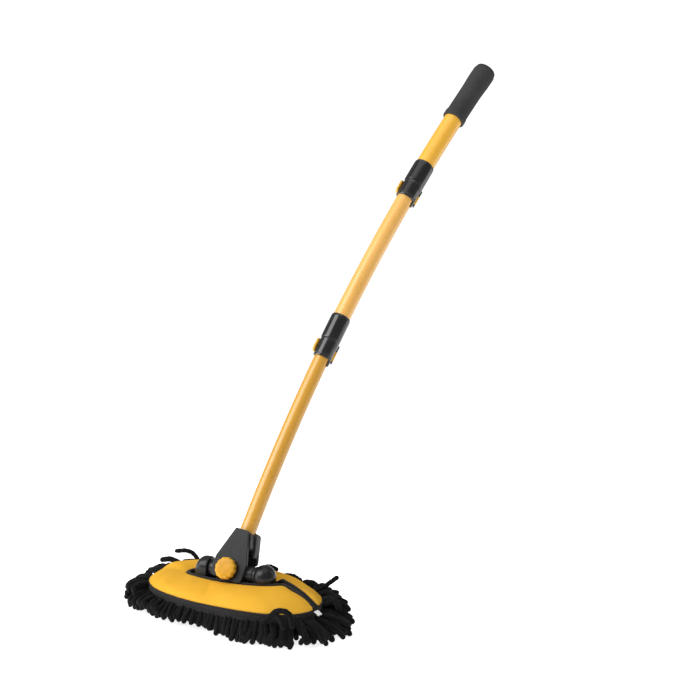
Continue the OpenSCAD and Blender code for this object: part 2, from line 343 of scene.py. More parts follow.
def scale_c(c, k):
    return tuple(min(1, x * k) for x in c)


def mathn(nt, op, a, b=None):
    m = N(nt, "ShaderNodeMath", operation=op)
    for i, x in enumerate([a, b]):
        if x is None:
            continue
        if isinstance(x, (int, float)):
            m.inputs[i].default_value = x
        else:
            nt.links.new(x, m.inputs[i])
    return m.outputs[0]


def mat_plastic(name, col, rough=0.36, spec=0.5, grain=1.0, edge_highlight=None):
    m, nt, b, co = new_mat(name)
    big = nz(nt, co, 22, 3); fine = nz(nt, co, 1400, 2, 0.6); mid = nz(nt, co, 160, 4)
    c = ramp(nt, mid, [(0.3, scale_c(col, 0.86)), (0.7, scale_c(col, 1.12))])
    # painted highlight: sharp convex edges (high pointiness), broken up by noise, are lightened toward the lighter edge
    # colour
    if edge_highlight:
        g = N(nt, "ShaderNodeNewGeometry")
        pt = ramp(nt, g.outputs["Pointiness"], [(0.505, (0, 0, 0)), (0.56, (1, 1, 1))])
        mx = N(nt, "ShaderNodeMix", data_type="RGBA")
        nt.links.new(mathn(nt, "MULTIPLY", pt, mid), mx.inputs["Factor"])
        nt.links.new(c, mx.inputs["A"]); mx.inputs["B"].default_value = (*edge_highlight, 1)
        c = mx.outputs["Result"]
    nt.links.new(c, b.inputs["Base Color"])
    nt.links.new(rngmap(nt, big, rough * 0.85, rough * 1.18), b.inputs["Roughness"])
    b.inputs["Specular IOR Level"].default_value = spec
    bump(nt, b, [(fine, 0.00004 * grain, 0.5), (mid, 0.0001 * grain, 0.18)])
    return m


def mat_paint(name, dark, mid, light, rough=0.27):
    m, nt, b, co = new_mat(name)
    a = nz(nt, co, 9, 3, 0.5); s = nz(nt, co, 60, 5, 0.6, 0.3); f = nz(nt, co, 900, 2)
    c = ramp(nt, a, [(0.3, dark), (0.5, mid), (0.72, light)])
    # fine rubbed marks that run along the tube
    mp = N(nt, "ShaderNodeMapping"); mp.inputs["Scale"].default_value = (260, 260, 22)
    mp.inputs["Rotation"].default_value = (math.radians(28), math.radians(-10), 0)
    nt.links.new(co, mp.inputs["Vector"])
    sc = N(nt, "ShaderNodeTexNoise", Scale=1.0, Detail=3.0, Roughness=0.6)
    nt.links.new(mp.outputs["Vector"], sc.inputs["Vector"])
    scr = ramp(nt, sc.outputs["Fac"], [(0.66, (0, 0, 0)), (0.74, (1, 1, 1))])
    mx = N(nt, "ShaderNodeMix", data_type="RGBA")
    nt.links.new(mathn(nt, "MULTIPLY", scr, 0.07), mx.inputs["Factor"])
    nt.links.new(c, mx.inputs["A"]); mx.inputs["B"].default_value = (*scale_c(dark, 0.72), 1)
    nt.links.new(mx.outputs["Result"], b.inputs["Base Color"])
    nt.links.new(rngmap(nt, s, rough * 0.8, rough * 1.35), b.inputs["Roughness"])
    b.inputs["Coat Weight"].default_value = 0.35
    b.inputs["Coat Roughness"].default_value = 0.16
    bump(nt, b, [(f, 0.00002, 0.2), (s, 0.00005, 0.08)])
    return m


def mat_knit(name, dark, mid, light, pitch=0.0011, sheen=0.25, rough=0.8, amp=1.0):
    """fine knitted or woven face: two crossing rows of loops, plus a soft hand"""
    m, nt, b, co = new_mat(name)
    k = 2 * math.pi / pitch
    sep = N(nt, "ShaderNodeSeparateXYZ")
    wob = N(nt, "ShaderNodeTexNoise", Scale=55.0, Detail=2.0)
    nt.links.new(co, wob.inputs["Vector"]); nt.links.new(co, sep.inputs[0])
    w = mathn(nt, "MULTIPLY", wob.outputs["Fac"], 2.2)
    sx = mathn(nt, "SINE", mathn(nt, "ADD", mathn(nt, "MULTIPLY", sep.outputs[0], k), w))
    sy = mathn(nt, "SINE", mathn(nt, "ADD", mathn(nt, "MULTIPLY", mathn(nt, "ADD", sep.outputs[1], sep.outputs[2]), k * 0.8), w))
    wv = mathn(nt, "ADD", mathn(nt, "MULTIPLY", mathn(nt, "MULTIPLY", sx, sy), 0.25), 0.5)
    big = nz(nt, co, 14, 4); med = nz(nt, co, 95, 4); fz = nz(nt, co, 2600, 2, 0.7)
    c = ramp(nt, big, [(0.3, dark), (0.5, mid), (0.7, light)])
    mx = N(nt, "ShaderNodeMix", data_type="RGBA", blend_type="MULTIPLY")
    mx.inputs["Factor"].default_value = 0.28
    nt.links.new(c, mx.inputs["A"])
    nt.links.new(ramp(nt, mathn(nt, "MULTIPLY", mathn(nt, "ADD", wv, fz), 0.5), [(0.25, (0.45, 0.45, 0.45)), (0.7, (1, 1, 1))]), mx.inputs["B"])
    nt.links.new(mx.outputs["Result"], b.inputs["Base Color"])
    nt.links.new(rngmap(nt, fz, rough * 0.9, rough * 1.1), b.inputs["Roughness"])
    b.inputs["Sheen Weight"].default_value = sheen
    b.inputs["Sheen Roughness"].default_value = 0.5
    b.inputs["Sheen Tint"].default_value = (*light, 1)
    b.inputs["Specular IOR Level"].default_value = 0.22
    bump(nt, b, [(wv, 0.00025 * amp, 0.5), (fz, 0.0001 * amp, 0.4), (med, 0.0006 * amp, 0.12)])
    return m


def mat_chenille(name):
    m, nt, b, co = new_mat(name)
    pile = nz(nt, co, 900, 3, 0.7); tuft = nz(nt, co, 260, 3, 0.6); tone = nz(nt, co, 45, 3)
    v = N(nt, "ShaderNodeTexVoronoi", Scale=520.0); nt.links.new(co, v.inputs["Vector"])
    c = ramp(nt, tone, [(0.3, (0.0035, 0.0035, 0.0038)), (0.55, (0.006, 0.006, 0.0064)), (0.75, (0.010, 0.010, 0.0108))])
    nt.links.new(c, b.inputs["Base Color"])
    nt.links.new(rngmap(nt, pile, 0.82, 1.0), b.inputs["Roughness"])
    b.inputs["Specular IOR Level"].default_value = 0.12
    b.inputs["Sheen Weight"].default_value = 0.06
    b.inputs["Sheen Roughness"].default_value = 0.45
    b.inputs["Sheen Tint"].default_value = (0.75, 0.75, 0.8, 1)
    bump(nt, b, [(tuft, 0.0012, 0.5), (v.outputs["Distance"], 0.0008, 0.45), (pile, 0.0004, 0.5)])
    return m


def mat_foam(name):
    m, nt, b, co = new_mat(name)
    v = N(nt, "ShaderNodeTexVoronoi", Scale=620.0); nt.links.new(co, v.inputs["Vector"])
    t = nz(nt, co, 30, 4); f = nz(nt, co, 420, 3, 0.65)
    pore = ramp(nt, v.outputs["Distance"], [(0.1, (0.35, 0.35, 0.35)), (0.42, (1, 1, 1))])
    c = ramp(nt, t, [(0.3, (0.026, 0.026, 0.0275)), (0.7, (0.038, 0.038, 0.040))])
    mx = N(nt, "ShaderNodeMix", data_type="RGBA", blend_type="MULTIPLY"); mx.inputs["Factor"].default_value = 0.6
    nt.links.new(c, mx.inputs["A"]); nt.links.new(pore, mx.inputs["B"])
    nt.links.new(mx.outputs["Result"], b.inputs["Base Color"])
    nt.links.new(rngmap(nt, f, 0.72, 0.92), b.inputs["Roughness"])
    b.inputs["Specular IOR Level"].default_value = 0.35
    bump(nt, b, [(v.outputs["Distance"], 0.0003, 0.5), (f, 0.0003, 0.4)])
    return m


def mat_steel(name):
    m, nt, b, co = new_mat(name)
    a = nz(nt, co, 120, 4); f = nz(nt, co, 1800, 2, vec=(1, 1, 0.15))
    nt.links.new(ramp(nt, a, [(0.3, (0.42, 0.42, 0.43)), (0.7, (0.62, 0.62, 0.63))]), b.inputs["Base Color"])
    b.inputs["Metallic"].default_value = 1.0
    nt.links.new(rngmap(nt, a, 0.24, 0.42), b.inputs["Roughness"])
    bump(nt, b, [(f, 0.00005, 0.4)])
    return m


def mat_tape(name, col, pitch=0.0009, hi=2.2, sheen=0.12):
    """woven tape: ribs across plus a picked texture"""
    m, nt, b, co = new_mat(name)
    sep = N(nt, "ShaderNodeSeparateXYZ"); nt.links.new(co, sep.inputs[0])
    ang = N(nt, "ShaderNodeMath", operation="ARCTAN2")
    nt.links.new(sep.outputs[1], ang.inputs[0]); nt.links.new(sep.outputs[0], ang.inputs[1])
    rib = mathn(nt, "SINE", mathn(nt, "MULTIPLY", ang.outputs[0], 520.0))
    row = mathn(nt, "SINE", mathn(nt, "MULTIPLY", sep.outputs[2], 2 * math.pi / pitch))
    wv = mathn(nt, "ADD", mathn(nt, "MULTIPLY", mathn(nt, "MULTIPLY", rib, row), 0.3), 0.5)
    f = nz(nt, co, 1900, 2, 0.7); t = nz(nt, co, 40, 3)
    c = ramp(nt, t, [(0.3, scale_c(col, 0.75)), (0.7, scale_c(col, 1.3))])
    mx = N(nt, "ShaderNodeMix", data_type="RGBA", blend_type="MULTIPLY"); mx.inputs["Factor"].default_value = 0.5
    nt.links.new(c, mx.inputs["A"])
    nt.links.new(ramp(nt, wv, [(0.2, (0.4, 0.4, 0.4)), (0.75, (1, 1, 1))]), mx.inputs["B"])
    nt.links.new(mx.outputs["Result"], b.inputs["Base Color"])
    nt.links.new(rngmap(nt, f, 0.68, 0.9), b.inputs["Roughness"])
    b.inputs["Sheen Weight"].default_value = sheen
    b.inputs["Specular IOR Level"].default_value = 0.25
    bump(nt, b, [(wv, 0.0003, 0.55), (f, 0.00012, 0.4)])
    return m


def mat_sponge(name):
    m, nt, b, co = new_mat(name)
    v = N(nt, "ShaderNodeTexVoronoi", Scale=700.0); nt.links.new(co, v.inputs["Vector"])
    c = ramp(nt, v.outputs["Distance"], [(0.15, (0.28, 0.2, 0.08)), (0.5, (0.62, 0.47, 0.22))])
    nt.links.new(c, b.inputs["Base Color"]); b.inputs["Roughness"].default_value = 0.95
    bump(nt, b, [(v.outputs["Distance"], 0.0008, 0.7)])
    return m


# the last colour given to each plastic is its painted edge highlight
BLACK = mat_plastic("black_plastic", (0.015, 0.015, 0.0162), 0.4, 0.2, 1.2, edge_highlight=(0.07, 0.07, 0.072))
GLOSS = mat_plastic("black_gloss", (0.010, 0.010, 0.0108), 0.27, 0.3, 0.6, edge_highlight=(0.04, 0.04, 0.042))
# painted shadow: a darker copy of the black plastic standing in for shade; no part uses it
SHADOW_BLACK = mat_plastic("black_dull", (0.005, 0.005, 0.0055), 0.5, 0.25, 1.0)
COLLAR = mat_plastic("collar_plastic", (0.009, 0.009, 0.0098), 0.17, 0.62, 0.6, edge_highlight=(0.05, 0.05, 0.052))
YPLAS = mat_plastic("yellow_plastic", (0.58, 0.27, 0.004), 0.38, 0.25, 1.0, edge_highlight=(0.95, 0.6, 0.12))
PAINT_U = mat_paint("pole_paint_upper", (0.76, 0.39, 0.035), (0.80, 0.425, 0.042), (0.83, 0.45, 0.055))
# painted reflection: the middle tube gets the same paint paled toward peach, standing in for the white surroundings it
# reflects
PAINT_M_REFLECTION = mat_paint("pole_paint_middle", (0.73, 0.385, 0.085), (0.77, 0.415, 0.10), (0.80, 0.44, 0.12))
# painted shade: the lower tube gets a darker copy of the same paint
PAINT_L_SHADED = mat_paint("pole_paint_lower", (0.57, 0.285, 0.030), (0.60, 0.305, 0.035), (0.63, 0.325, 0.042))
KNIT = mat_knit("cover_fabric", (0.76, 0.395, 0.026), (0.80, 0.42, 0.030), (0.84, 0.45, 0.036), sheen=0.15)
CHEN = mat_chenille("chenille")
BACK = mat_tape("backing_cloth", (0.012, 0.012, 0.013), 0.0012)
TAPE = mat_tape("binding_tape", (0.0115, 0.0098, 0.0095))
TAG = mat_knit("tag_fabric", (0.75, 0.75, 0.77), (0.82, 0.82, 0.83), (0.88, 0.88, 0.88), 0.0006, 0.1, 0.6, 0.4)
FOAM = mat_foam("foam")
STEEL = mat_steel("steel")
SPONGE = mat_sponge("sponge")

# ------------------------------------------------------------------ pole
def tube(name, s0, s1, ro, ri, body, mat, node):
    n = int((s1 - s0) / 11)
    mid = list(np.linspace(s0 + 1, s1 - 1, n))
    out = [(ro - .38, s0), (ro - .14, s0 + .08), (ro - .03, s0 + .22), (ro, s0 + .45)] + [(ro, s) for s in mid] + \
          [(ro, s1 - .45), (ro - .03, s1 - .22), (ro - .14, s1 - .08), (ro - .38, s1)]
    inn = [(ri + .25, s1), (ri, s1 - .25)] + [(ri, s) for s in mid[::-1]] + [(ri, s0 + .25), (ri + .25, s0)]
    V, Fc = revolve(out + inn, ARC, 80)
    return add(name, V, Fc, body, mat, [node], 30)


LOW_STEP, UP_STEP, END = 296.0, 538.0, 737.0
tube("tube_lower", 25, 352, 9.5, 8.5, "yoke", PAINT_L_SHADED, "lower_tube")
tube("tube_middle", 297.5, 584, 11.0, 10.0, "middle", PAINT_M_REFLECTION, "middle_tube")
tube("tube_upper", 539.5, 732, 12.5, 11.5, "upper", PAINT_U, "upper_tube")


def bush(name, s0, s1, ro, ri, body, node):
    p = [(ri + .05, s0 + .3), (ri + .35, s0), (ro - .5, s0), (ro - .1, s0 + .5), (ro - .1, s0 + 3.6), (ro - .6, s0 + 4.1),
         (ro - .6, s0 + 5.9), (ro - .1, s0 + 6.4), (ro - .1, s1 - .6), (ro - .6, s1), (ri + .35, s1), (ri + .05, s1 - .3)]
    V, Fc = revolve(p, ARC, 64)
    return add(name, V, Fc, body, BLACK, [node])


bush("bush_lower", 352, 362, 9.94, 8.5, "yoke", "lower_guide_bush")
bush("bush_middle", 584, 594, 11.44, 10.0, "middle", "middle_guide_bush")

# foam grip, with a flared lip at its foot and a swollen top
def grip():
    s0, s1, ro, ri = 647.0, 733.8, 15.5, 12.52
    ease = lambda t: (lambda q: q * q * (3 - 2 * q))(min(1, max(0, t)))
    def rad(s):
        w = (s - s0) / (s1 - s0)
        return 14.75 + 0.95 * (1 - ease((s - s0 - 7.0) / 5.0)) + 0.95 * ease((w - 0.52) / 0.34)
    out = []
    for k in range(9):
        a = math.pi / 2 * k / 8
        out.append((ri + 0.5 + (rad(s0) - ri - 0.5) * math.sin(a) ** 0.8, s0 + 1.9 * (1 - math.cos(a))))
    for s in np.linspace(s0 + 2.6, s1 - 5.6, 56):
        out.append((rad(s), s))
    rt = out[-1][0]
    for k in range(1, 13):
        a = math.pi / 2 * k / 12
        out.append((ri + 0.6 + (rt - ri - 0.6) * math.cos(a) ** 0.8, s1 - 5.6 + 5.6 * math.sin(a) ** 0.9))
    prof = out + [(ri, s1 - .2)] + [(ri, s) for s in np.linspace(s1 - 6, s0 + 4, 16)] + [(ri, s0 + .3)]
    V, Fc = revolve(prof, ARC, 96)
    for i in range(len(V)):
        v = Vector(V[i])
        V[i] += 0.10 * np.array(noise.noise_vector(v * 0.28)) + 0.05 * np.array(noise.noise_vector(v * 0.9))
    ob = add("grip_foam", V, Fc, "upper", FOAM, ["foam_grip"], 60)
    return ob


grip()
# end plug: a low rounded button with a small vent hole
prof = [(0, 725.2), (11.0, 725.2), (11.38, 726.0), (11.38, 736.0), (12.3, 736.3), (12.3, 738.0), (13.6, 738.05), (14.2, 738.4), (14.35, 738.9),
        (14.2, 739.4), (13.4, 739.95), (11.5, 740.4), (8, 740.75), (3.2, 740.92), (2.6, 740.9), (2.3, 740.5), (2.2, 739.2), (0, 739.2)]
prof = [(r, z - 4) for r, z in prof]
V, Fc = lathe(prof, ARC, 64)
add("grip_end_plug", V, Fc, "upper", FOAM, ["grip_plug"], 40)

# ------------------------------------------------------------------ flip locks
CL = 25.0
HA = 66.0                 # the lever pins, degrees round the tube


def collar(name, step, tube_r, inner_r, sr, L, cr, body, node):
    P = straight(pole(step))
    bi, bt = inner_r + 0.38, tube_r + 0.27
    parts = []
    # sleeve: soft shoulder at the top rim, a lip inside it, a rounded lower edge
    prof = [(bi, -0.4), (cr - 0.25, -0.4), (sr - 1.25, -0.05), (sr - .4, -0.05), (sr - .1, 0.12), (sr, 0.5)] + \
           [(sr, z) for z in np.linspace(2.0, L - 4.2, 7)] + \
           [(sr - .06, L - 2.9), (sr - .22, L - 1.9), (sr - .5, L - 1.05), (sr - .86, L - .42), (sr - 1.15, L - .08), (sr - 1.22, L),
            (bt + .12, L - .02), (bt + .02, L - .3), (bt, L - .9), (bt, 1.3), (bi, 1.3)]
    parts.append(revolve(prof, P, 96))
    # split clamp ring, a C that opens beside the lever pin
    z0 = -CL
    def c_prof(a):
        p = [(bi, z0 + .35), (bi + .3, z0 + .02), (cr - .55, z0), (cr - .15, z0 + .18), (cr, z0 + .6), (cr, z0 + 1.9), (cr - .35, z0 + 2.3),
             (cr - .38, z0 + 3.1), (cr - .05, z0 + 3.5)]
        p += [(cr - .05, z) for z in np.linspace(z0 + 5, -1.4, 6)] + [(cr - .3, -.3), (bi, -.3)]
        return p
    parts.append(arc_solid(c_prof, HA + 26.5, HA + 381.5, P, 88, 0.35))
    # lug: the sleeve's wide part runs on down the right side, its lower edge slanting
    def lug(a):
        w = min(1, max(0, (a + 46) / 34)); w = w * w * (3 - 2 * w)
        zl = -0.3 - 8.2 * w
        ro, ri = sr - 0.05, cr - 0.5
        m = -0.2
        return [(ri, zl + .5), (ri + .3, zl), (ro - .9, zl), (ro - .3, zl + .25), (ro - .03, zl + .9), (ro, (zl + m) / 2 + .3), (ro, m + .9), (ro - .2, m + 1.1), (ri, m + 1.1)]
    parts.append(arc_solid(lug, -46, 71, P, 48, 0.9))
    # hinge ears that hold the lever pin
    f = P(0)
    hp = cr + 3.3
    a = math.radians(HA)
    for z, h, r in ((-8.0, 8.4, 2.75), (-CL + 0.3, 3.3, 2.7)):
        O = f([hp * math.cos(a), hp * math.sin(a), 0])
        g = straight(F(O, *f.m))
        parts.append(lathe([(0, z), (r - .5, z), (r - .15, z + .15), (r, z + .5), (r, z + h - .6), (r - .2, z + h - .15), (r - .6, z + h), (0, z + h)], g, 32))
        ear = F(f.o, math.cos(a) * f.m[0] + math.sin(a) * f.m[1], -math.sin(a) * f.m[0] + math.cos(a) * f.m[1], f.m[2])
        poly = rounded([(inner_r + .9, z + .05), (hp + .2, z + .05), (hp + .2, z + h - .05), (inner_r + .9, z + h - .05)], .3, 3)
        parts.append(prism(poly, -2.1, 2.1, ear))
    # guide tongue with its tip curling in on the inner tube
    b = math.radians(12)
    tf = F(f.o, math.cos(b) * f.m[0] + math.sin(b) * f.m[1], -math.sin(b) * f.m[0] + math.cos(b) * f.m[1], f.m[2])
    rows = []
    for z, r0, th, w in ((-20.0, .9, 1.35, 2.5), (-24.0, .85, 1.4, 2.45), (-26.5, .8, 1.5, 2.35), (-28.6, .85, 1.5, 2.25), (-30.4, .75, 1.45, 2.15),
                         (-31.8, .5, 1.55, 2.0), (-32.6, .3, 1.45, 1.75), (-33.0, .22, 1.0, 1.35)):
        r = inner_r + r0
        rows.append([tf([r, -w, z]), tf([r + .25, -w * 1.0, z]), tf([r + th - .3, -w, z]), tf([r + th, -w + .35, z]), tf([r + th + .12, 0, z]), tf([r + th, w - .35, z]),
                     tf([r + th - .3, w, z]), tf([r, w, z])])
    parts.append(grid(rows, True, False))
    V, Fc = merge(parts)
    return add(name, V, Fc, body, COLLAR, [node], 38)


def lever(name, step, cr, body, node):
    P = straight(pole(step))
    f = P(0)
    r0 = cr + 0.42
    hp = cr + 3.3
    z0 = -CL + 4.3
    top = -1.6
    def sec(a):
        # tall round the back, easing to a rounded finger end past 190 degrees
        e = min(1, max(0, (a - 176) / 36)); e = e * e
        s = min(1, max(0, (90 - a) / 14))
        zt = top - 2.6 * e - 7.2 * s
        zb = z0 + 0.3 + 0.9 * e
        t = 3.05 + 0.5 * math.sin(math.pi * min(1, max(0, (a - 80) / 140))) + 0.3 * e
        zm = (zt + zb) / 2
        ro = r0 + t
        return [(r0, zb + .5), (r0 + .35, zb), (ro - 1.2, zb), (ro - .45, zb + .3), (ro - .12, zb + 1.1), (ro, zb + 3), (ro + .08, zm), (ro, zt - 3), (ro - .12, zt - 1.1),
                (ro - .45, zt - .3), (ro - 1.2, zt), (r0 + .35, zt), (r0, zt - .5)]
    parts = [arc_solid(sec, 74.5, 216, P, 56, 1.3)]
    a = math.radians(HA)
    O = f([hp * math.cos(a), hp * math.sin(a), 0])
    g = straight(F(O, *f.m))
    zb, zt = -CL + 3.9, -8.3
    parts.append(revolve([(1.56, zb + .2), (1.9, zb), (2.4, zb), (2.72, zb + .2), (2.8, zb + .6), (2.8, zt - .6), (2.72, zt - .2), (2.4, zt), (1.9, zt), (1.56, zt - .2)], g, 32))
    lf = F(f.o, math.cos(a) * f.m[0] + math.sin(a) * f.m[1], -math.sin(a) * f.m[0] + math.cos(a) * f.m[1], f.m[2])
    poly = rounded([(r0 + .5, zb + .5), (hp + 1.6, zb + .5), (hp + 1.6, zt - .4), (r0 + .5, zt - .4)], .4, 3)
    parts.append(prism(poly, 1.7, 4.6, lf))
    V, Fc = merge(parts)
    return add(name, V, Fc, body, YPLAS, [node], 40)


def lock_pin(name, step, cr, body, node):
    f = pole(step); hp = cr + 3.3; a = math.radians(HA)
    g = straight(F(f([hp * math.cos(a), hp * math.sin(a), 0]), *f.m))
    z0, z1 = -CL + .2, -.8
    V, Fc = lathe([(0, z0), (1.2, z0), (1.5, z0 + .3), (1.5, z1 - .3), (1.2, z1), (0, z1)], g, 28)
    return add(name, V, Fc, body, STEEL, [node])


collar("collar_lower", LOW_STEP, 11.0, 9.5, 12.6, 34, 11.8, "middle", "lower_lock_collar")
collar("collar_upper", UP_STEP, 12.5, 11.0, 13.9, 31, 13.1, "upper", "upper_lock_collar")
lever("lever_lower", LOW_STEP, 11.8, "lower_lever", "lower_lock_lever")
lever("lever_upper", UP_STEP, 13.1, "upper_lever", "upper_lock_lever")
lock_pin("lever_pin_lower", LOW_STEP, 11.8, "middle", "lower_lock_pin")
lock_pin("lever_pin_upper", UP_STEP, 13.1, "upper", "upper_lock_pin")

# ------------------------------------------------------------------ hub
YB = F(J, U, -YL, T)   # looks from the front: y grows toward the knob
def yz(f=YOKE):
    """a place for lathes about the knob's axis: z grows toward the front"""
    return lambda k: F(f.o - k * f.m[1], f.m[0], f.m[2], -f.m[1])


# front plate: flat face, rounded rim, and a step back round the edge
plate = hull([(s * x, z, r) for s in (-1, 1) for x, z, r in ((7, 44, 2), (16.4, 10, 4), (15.4, -6, 5))], 28)
L = [(-14.0, 1.5), (-14.0, 1.1), (-13.93, .55), (-13.7, .2), (-13.3, .04), (-12.8, 0), (-10.9, 0), (-10.5, .1), (-10.1, .45), (-9.3, .55), (-9.3, 1.6)]
parts = [prism(plate, 0, 0, YOKE, L)]
# inner half of the pole socket
sock = rounded([(-10.5, 45), (10.5, 45), (15.5, 30), (15.5, 28.5), (11, 24.7), (-11, 24.7), (-15.5, 28.5), (-15.5, 30)], [2.5, 2.5, 1.5, 1, 1, 1, 1, 1.5], 3)
parts.append(prism(sock, 0, 0, YOKE, [(-9.6, 0), (-1.0, 0), (-.55, .12), (-.3, .45)]))
V, Fc = merge(parts)
add("yoke_front", V, Fc, "yoke", BLACK, ["yoke_front_shell"], 36)

rear = rounded([(-12.5, 47), (12.5, 47), (21, 17), (21, 14), (13, 9), (-13, 9), (-21, 14), (-21, 17)], [3, 3, 3, 2, 2, 2, 2, 3], 5)
L = [(9.2, .5), (9.5, .12), (9.9, 0), (12.2, 0), (13.1, .25), (13.7, .85), (13.95, 1.7), (14.0, 2.6)]
parts = [prism(rear, 0, 0, YOKE, L)]
sock2 = rounded([(-12.5, 47), (12.5, 47), (18, 28), (18.8, 20.5), (15, 20.5), (13, 24.6), (-13, 24.6), (-15, 20.5), (-18.8, 20.5), (-18, 28)], [3, 3, 2, .8, .8, 1, 1, .8, .8, 2], 4)
parts.append(prism(sock2, 0, 0, YOKE, [(.0, .9), (.12, .45), (.45, .1), (.9, 0), (9.6, 0)]))
# round rear ear, with a raised ring round the nut
parts.append(lathe([(0, -9.25), (12.6, -9.25), (13.2, -9.45), (13.5, -9.9), (13.5, -12.4), (13.2, -13.3), (12.5, -13.9), (11.6, -14.0), (9.8, -14.0), (9.4, -13.6), (8.9, -13.55), (8.6, -13.98), (0, -13.98)], yz(), 72))
V, Fc = merge(parts)
add("yoke_rear", V, Fc, "yoke", BLACK, ["yoke_rear_shell"], 36)

# knob: twelve soft lobes on a domed face, on a plain collar
def lobes(a, r, z):
    k = min(1, max(0, (r - 7.2) / 3.6))
    return -0.62 * k * (0.5 - 0.5 * math.cos(12 * a)) ** 1.6
prof = [(0, 14.3), (6.6, 14.3), (7.0, 14.5), (7.0, 15.4), (10.9, 15.45), (11.6, 15.65), (11.95, 16.2), (12.1, 17.2), (12.12, 19.2), (12.05, 20.8), (11.8, 21.9), (11.3, 22.65),
        (10.5, 23.2), (9.4, 23.55), (7.6, 23.78), (5.2, 23.92), (2.6, 23.98), (0, 24.0)]
V, Fc = lathe(prof, yz(), 144, lobes)
add("knob", V, Fc, "knob", YPLAS, ["tilt_knob"], 50)

# bolt (its threaded end shows behind the nut) and nut
def thread(a, r, z):
    return -0.16 * (0.5 + 0.5 * math.cos(a - z * 2 * math.pi / 0.8)) if z < -13 and r > 2.5 else 0
prof = [(0, -18.0), (2.2, -18.0), (2.75, -17.6)] + [(3.0, z) for z in np.arange(-17.3, -13.0, .2)] + [(3.0, -12.8), (3.0, 15.9), (2.8, 16.0), (0, 16.0)]
V, Fc = lathe(prof, yz(), 40, thread)
add("tilt_bolt_stud", V, Fc, "knob", STEEL, ["tilt_bolt"], 40)
hexp = [(6 * math.cos(math.radians(60 * k)), 6 * math.sin(math.radians(60 * k))) for k in range(6)]
def hexmod(a, r, z):
    if r < 4:
        return 0
    h = 5.196 / math.cos((a % (math.pi / 3)) - math.pi / 6)
    return min(0, h - r)
prof = [(3.06, -14.0), (6.0, -14.0), (6.0, -17.7), (5.75, -18.1), (5.2, -18.5), (3.6, -18.5), (3.06, -18.1)]
rings = []
for a in np.linspace(0, 2 * math.pi, 72, endpoint=False):
    rings.append([yz()(z)([(r + hexmod(a, r, z)) * math.cos(a), (r + hexmod(a, r, z)) * math.sin(a), 0]) for r, z in prof])
V, Fc = grid(rings, True, True)
add("tilt_nut_hex", V, Fc, "yoke", STEEL, ["tilt_nut"], 25)

# screws: pan heads with a cross recess
def pan(place, k0, k1, r_shank, r_head, h, seg=48):
    """shank from k0 to k1 along the place's z, head from k1 outward"""
    sg = 1 if k1 > k0 else -1
    def cross(a, r, z):
        if r > r_head * .62 or r < r_head * .2 or abs(z - k1) < h * .3 or (z - k1) * sg < 0:
            return 0
        return 0
    prof = [(0, k0), (r_shank * .6, k0), (r_shank, k0 + sg * .6), (r_shank, k1), (r_head * .96, k1), (r_head, k1 + sg * h * .15), (r_head * .97, k1 + sg * h * .5),
            (r_head * .8, k1 + sg * h * .85), (r_head * .56, k1 + sg * h), (r_head * .5, k1 + sg * h * .98), (r_head * .4, k1 + sg * h * .45), (0, k1 + sg * h * .4)]
    def star(a, r, z):
        if abs(r - r_head * .5) < 1e-6 or abs(r - r_head * .4) < 1e-6:
            return -r * .42 * (0.5 - 0.5 * math.cos(4 * a))
        return 0
    return lathe(prof, place, seg, star)


parts = []
for x in (-12.3, 12.3):
    pl = lambda k, x=x: F(YOKE([x, k, 32]), U, T, YL)
    parts.append(pan(pl, -2.5, 14.0, 1.25, 2.6, 1.6))
V, Fc = merge(parts)
add("yoke_screw_pair", V, Fc, "yoke", STEEL, ["yoke_screws"], 30)
pl = lambda k: F(YOKE([0, k, 36]), U, T, YL)
V, Fc = pan(pl, 5, 14.0, 1.5, 3.0, 1.8)
add("pole_screw", V, Fc, "yoke", STEEL, ["pole_fixing_screw"], 30)

# knuckle: a thick rounded disc with two bosses
parts = []
prof = [(0, -8.7), (13.4, -8.7), (14.3, -8.5), (14.85, -7.9), (15, -7.1), (15, 7.1), (14.85, 7.9), (14.3, 8.5), (13.4, 8.7), (0, 8.7)]
parts.append(lathe(prof, yz(LEAN), 96))
xp = lambda k: F(LEAN([k, 0, 0]), LEAN.m[1], LEAN.m[2], LEAN.m[0])
for sx in (-1, 1):
    parts.append(lathe([(0, sx * 12), (8.7, sx * 12), (8.7, sx * 26.9), (8.5, sx * 27.5), (7.9, sx * 27.9), (0, sx * 27.9)], xp, 64))
V, Fc = merge(parts)
add("knuckle_block", V, Fc, "knuckle", GLOSS, ["knuckle"], 36)

PT, PZ = 21.4, 50.5      # plate top and pivot height
xw = lambda k: F([k, J[1], J[2]], [0, 1, 0], [0, 0, 1], [1, 0, 0])


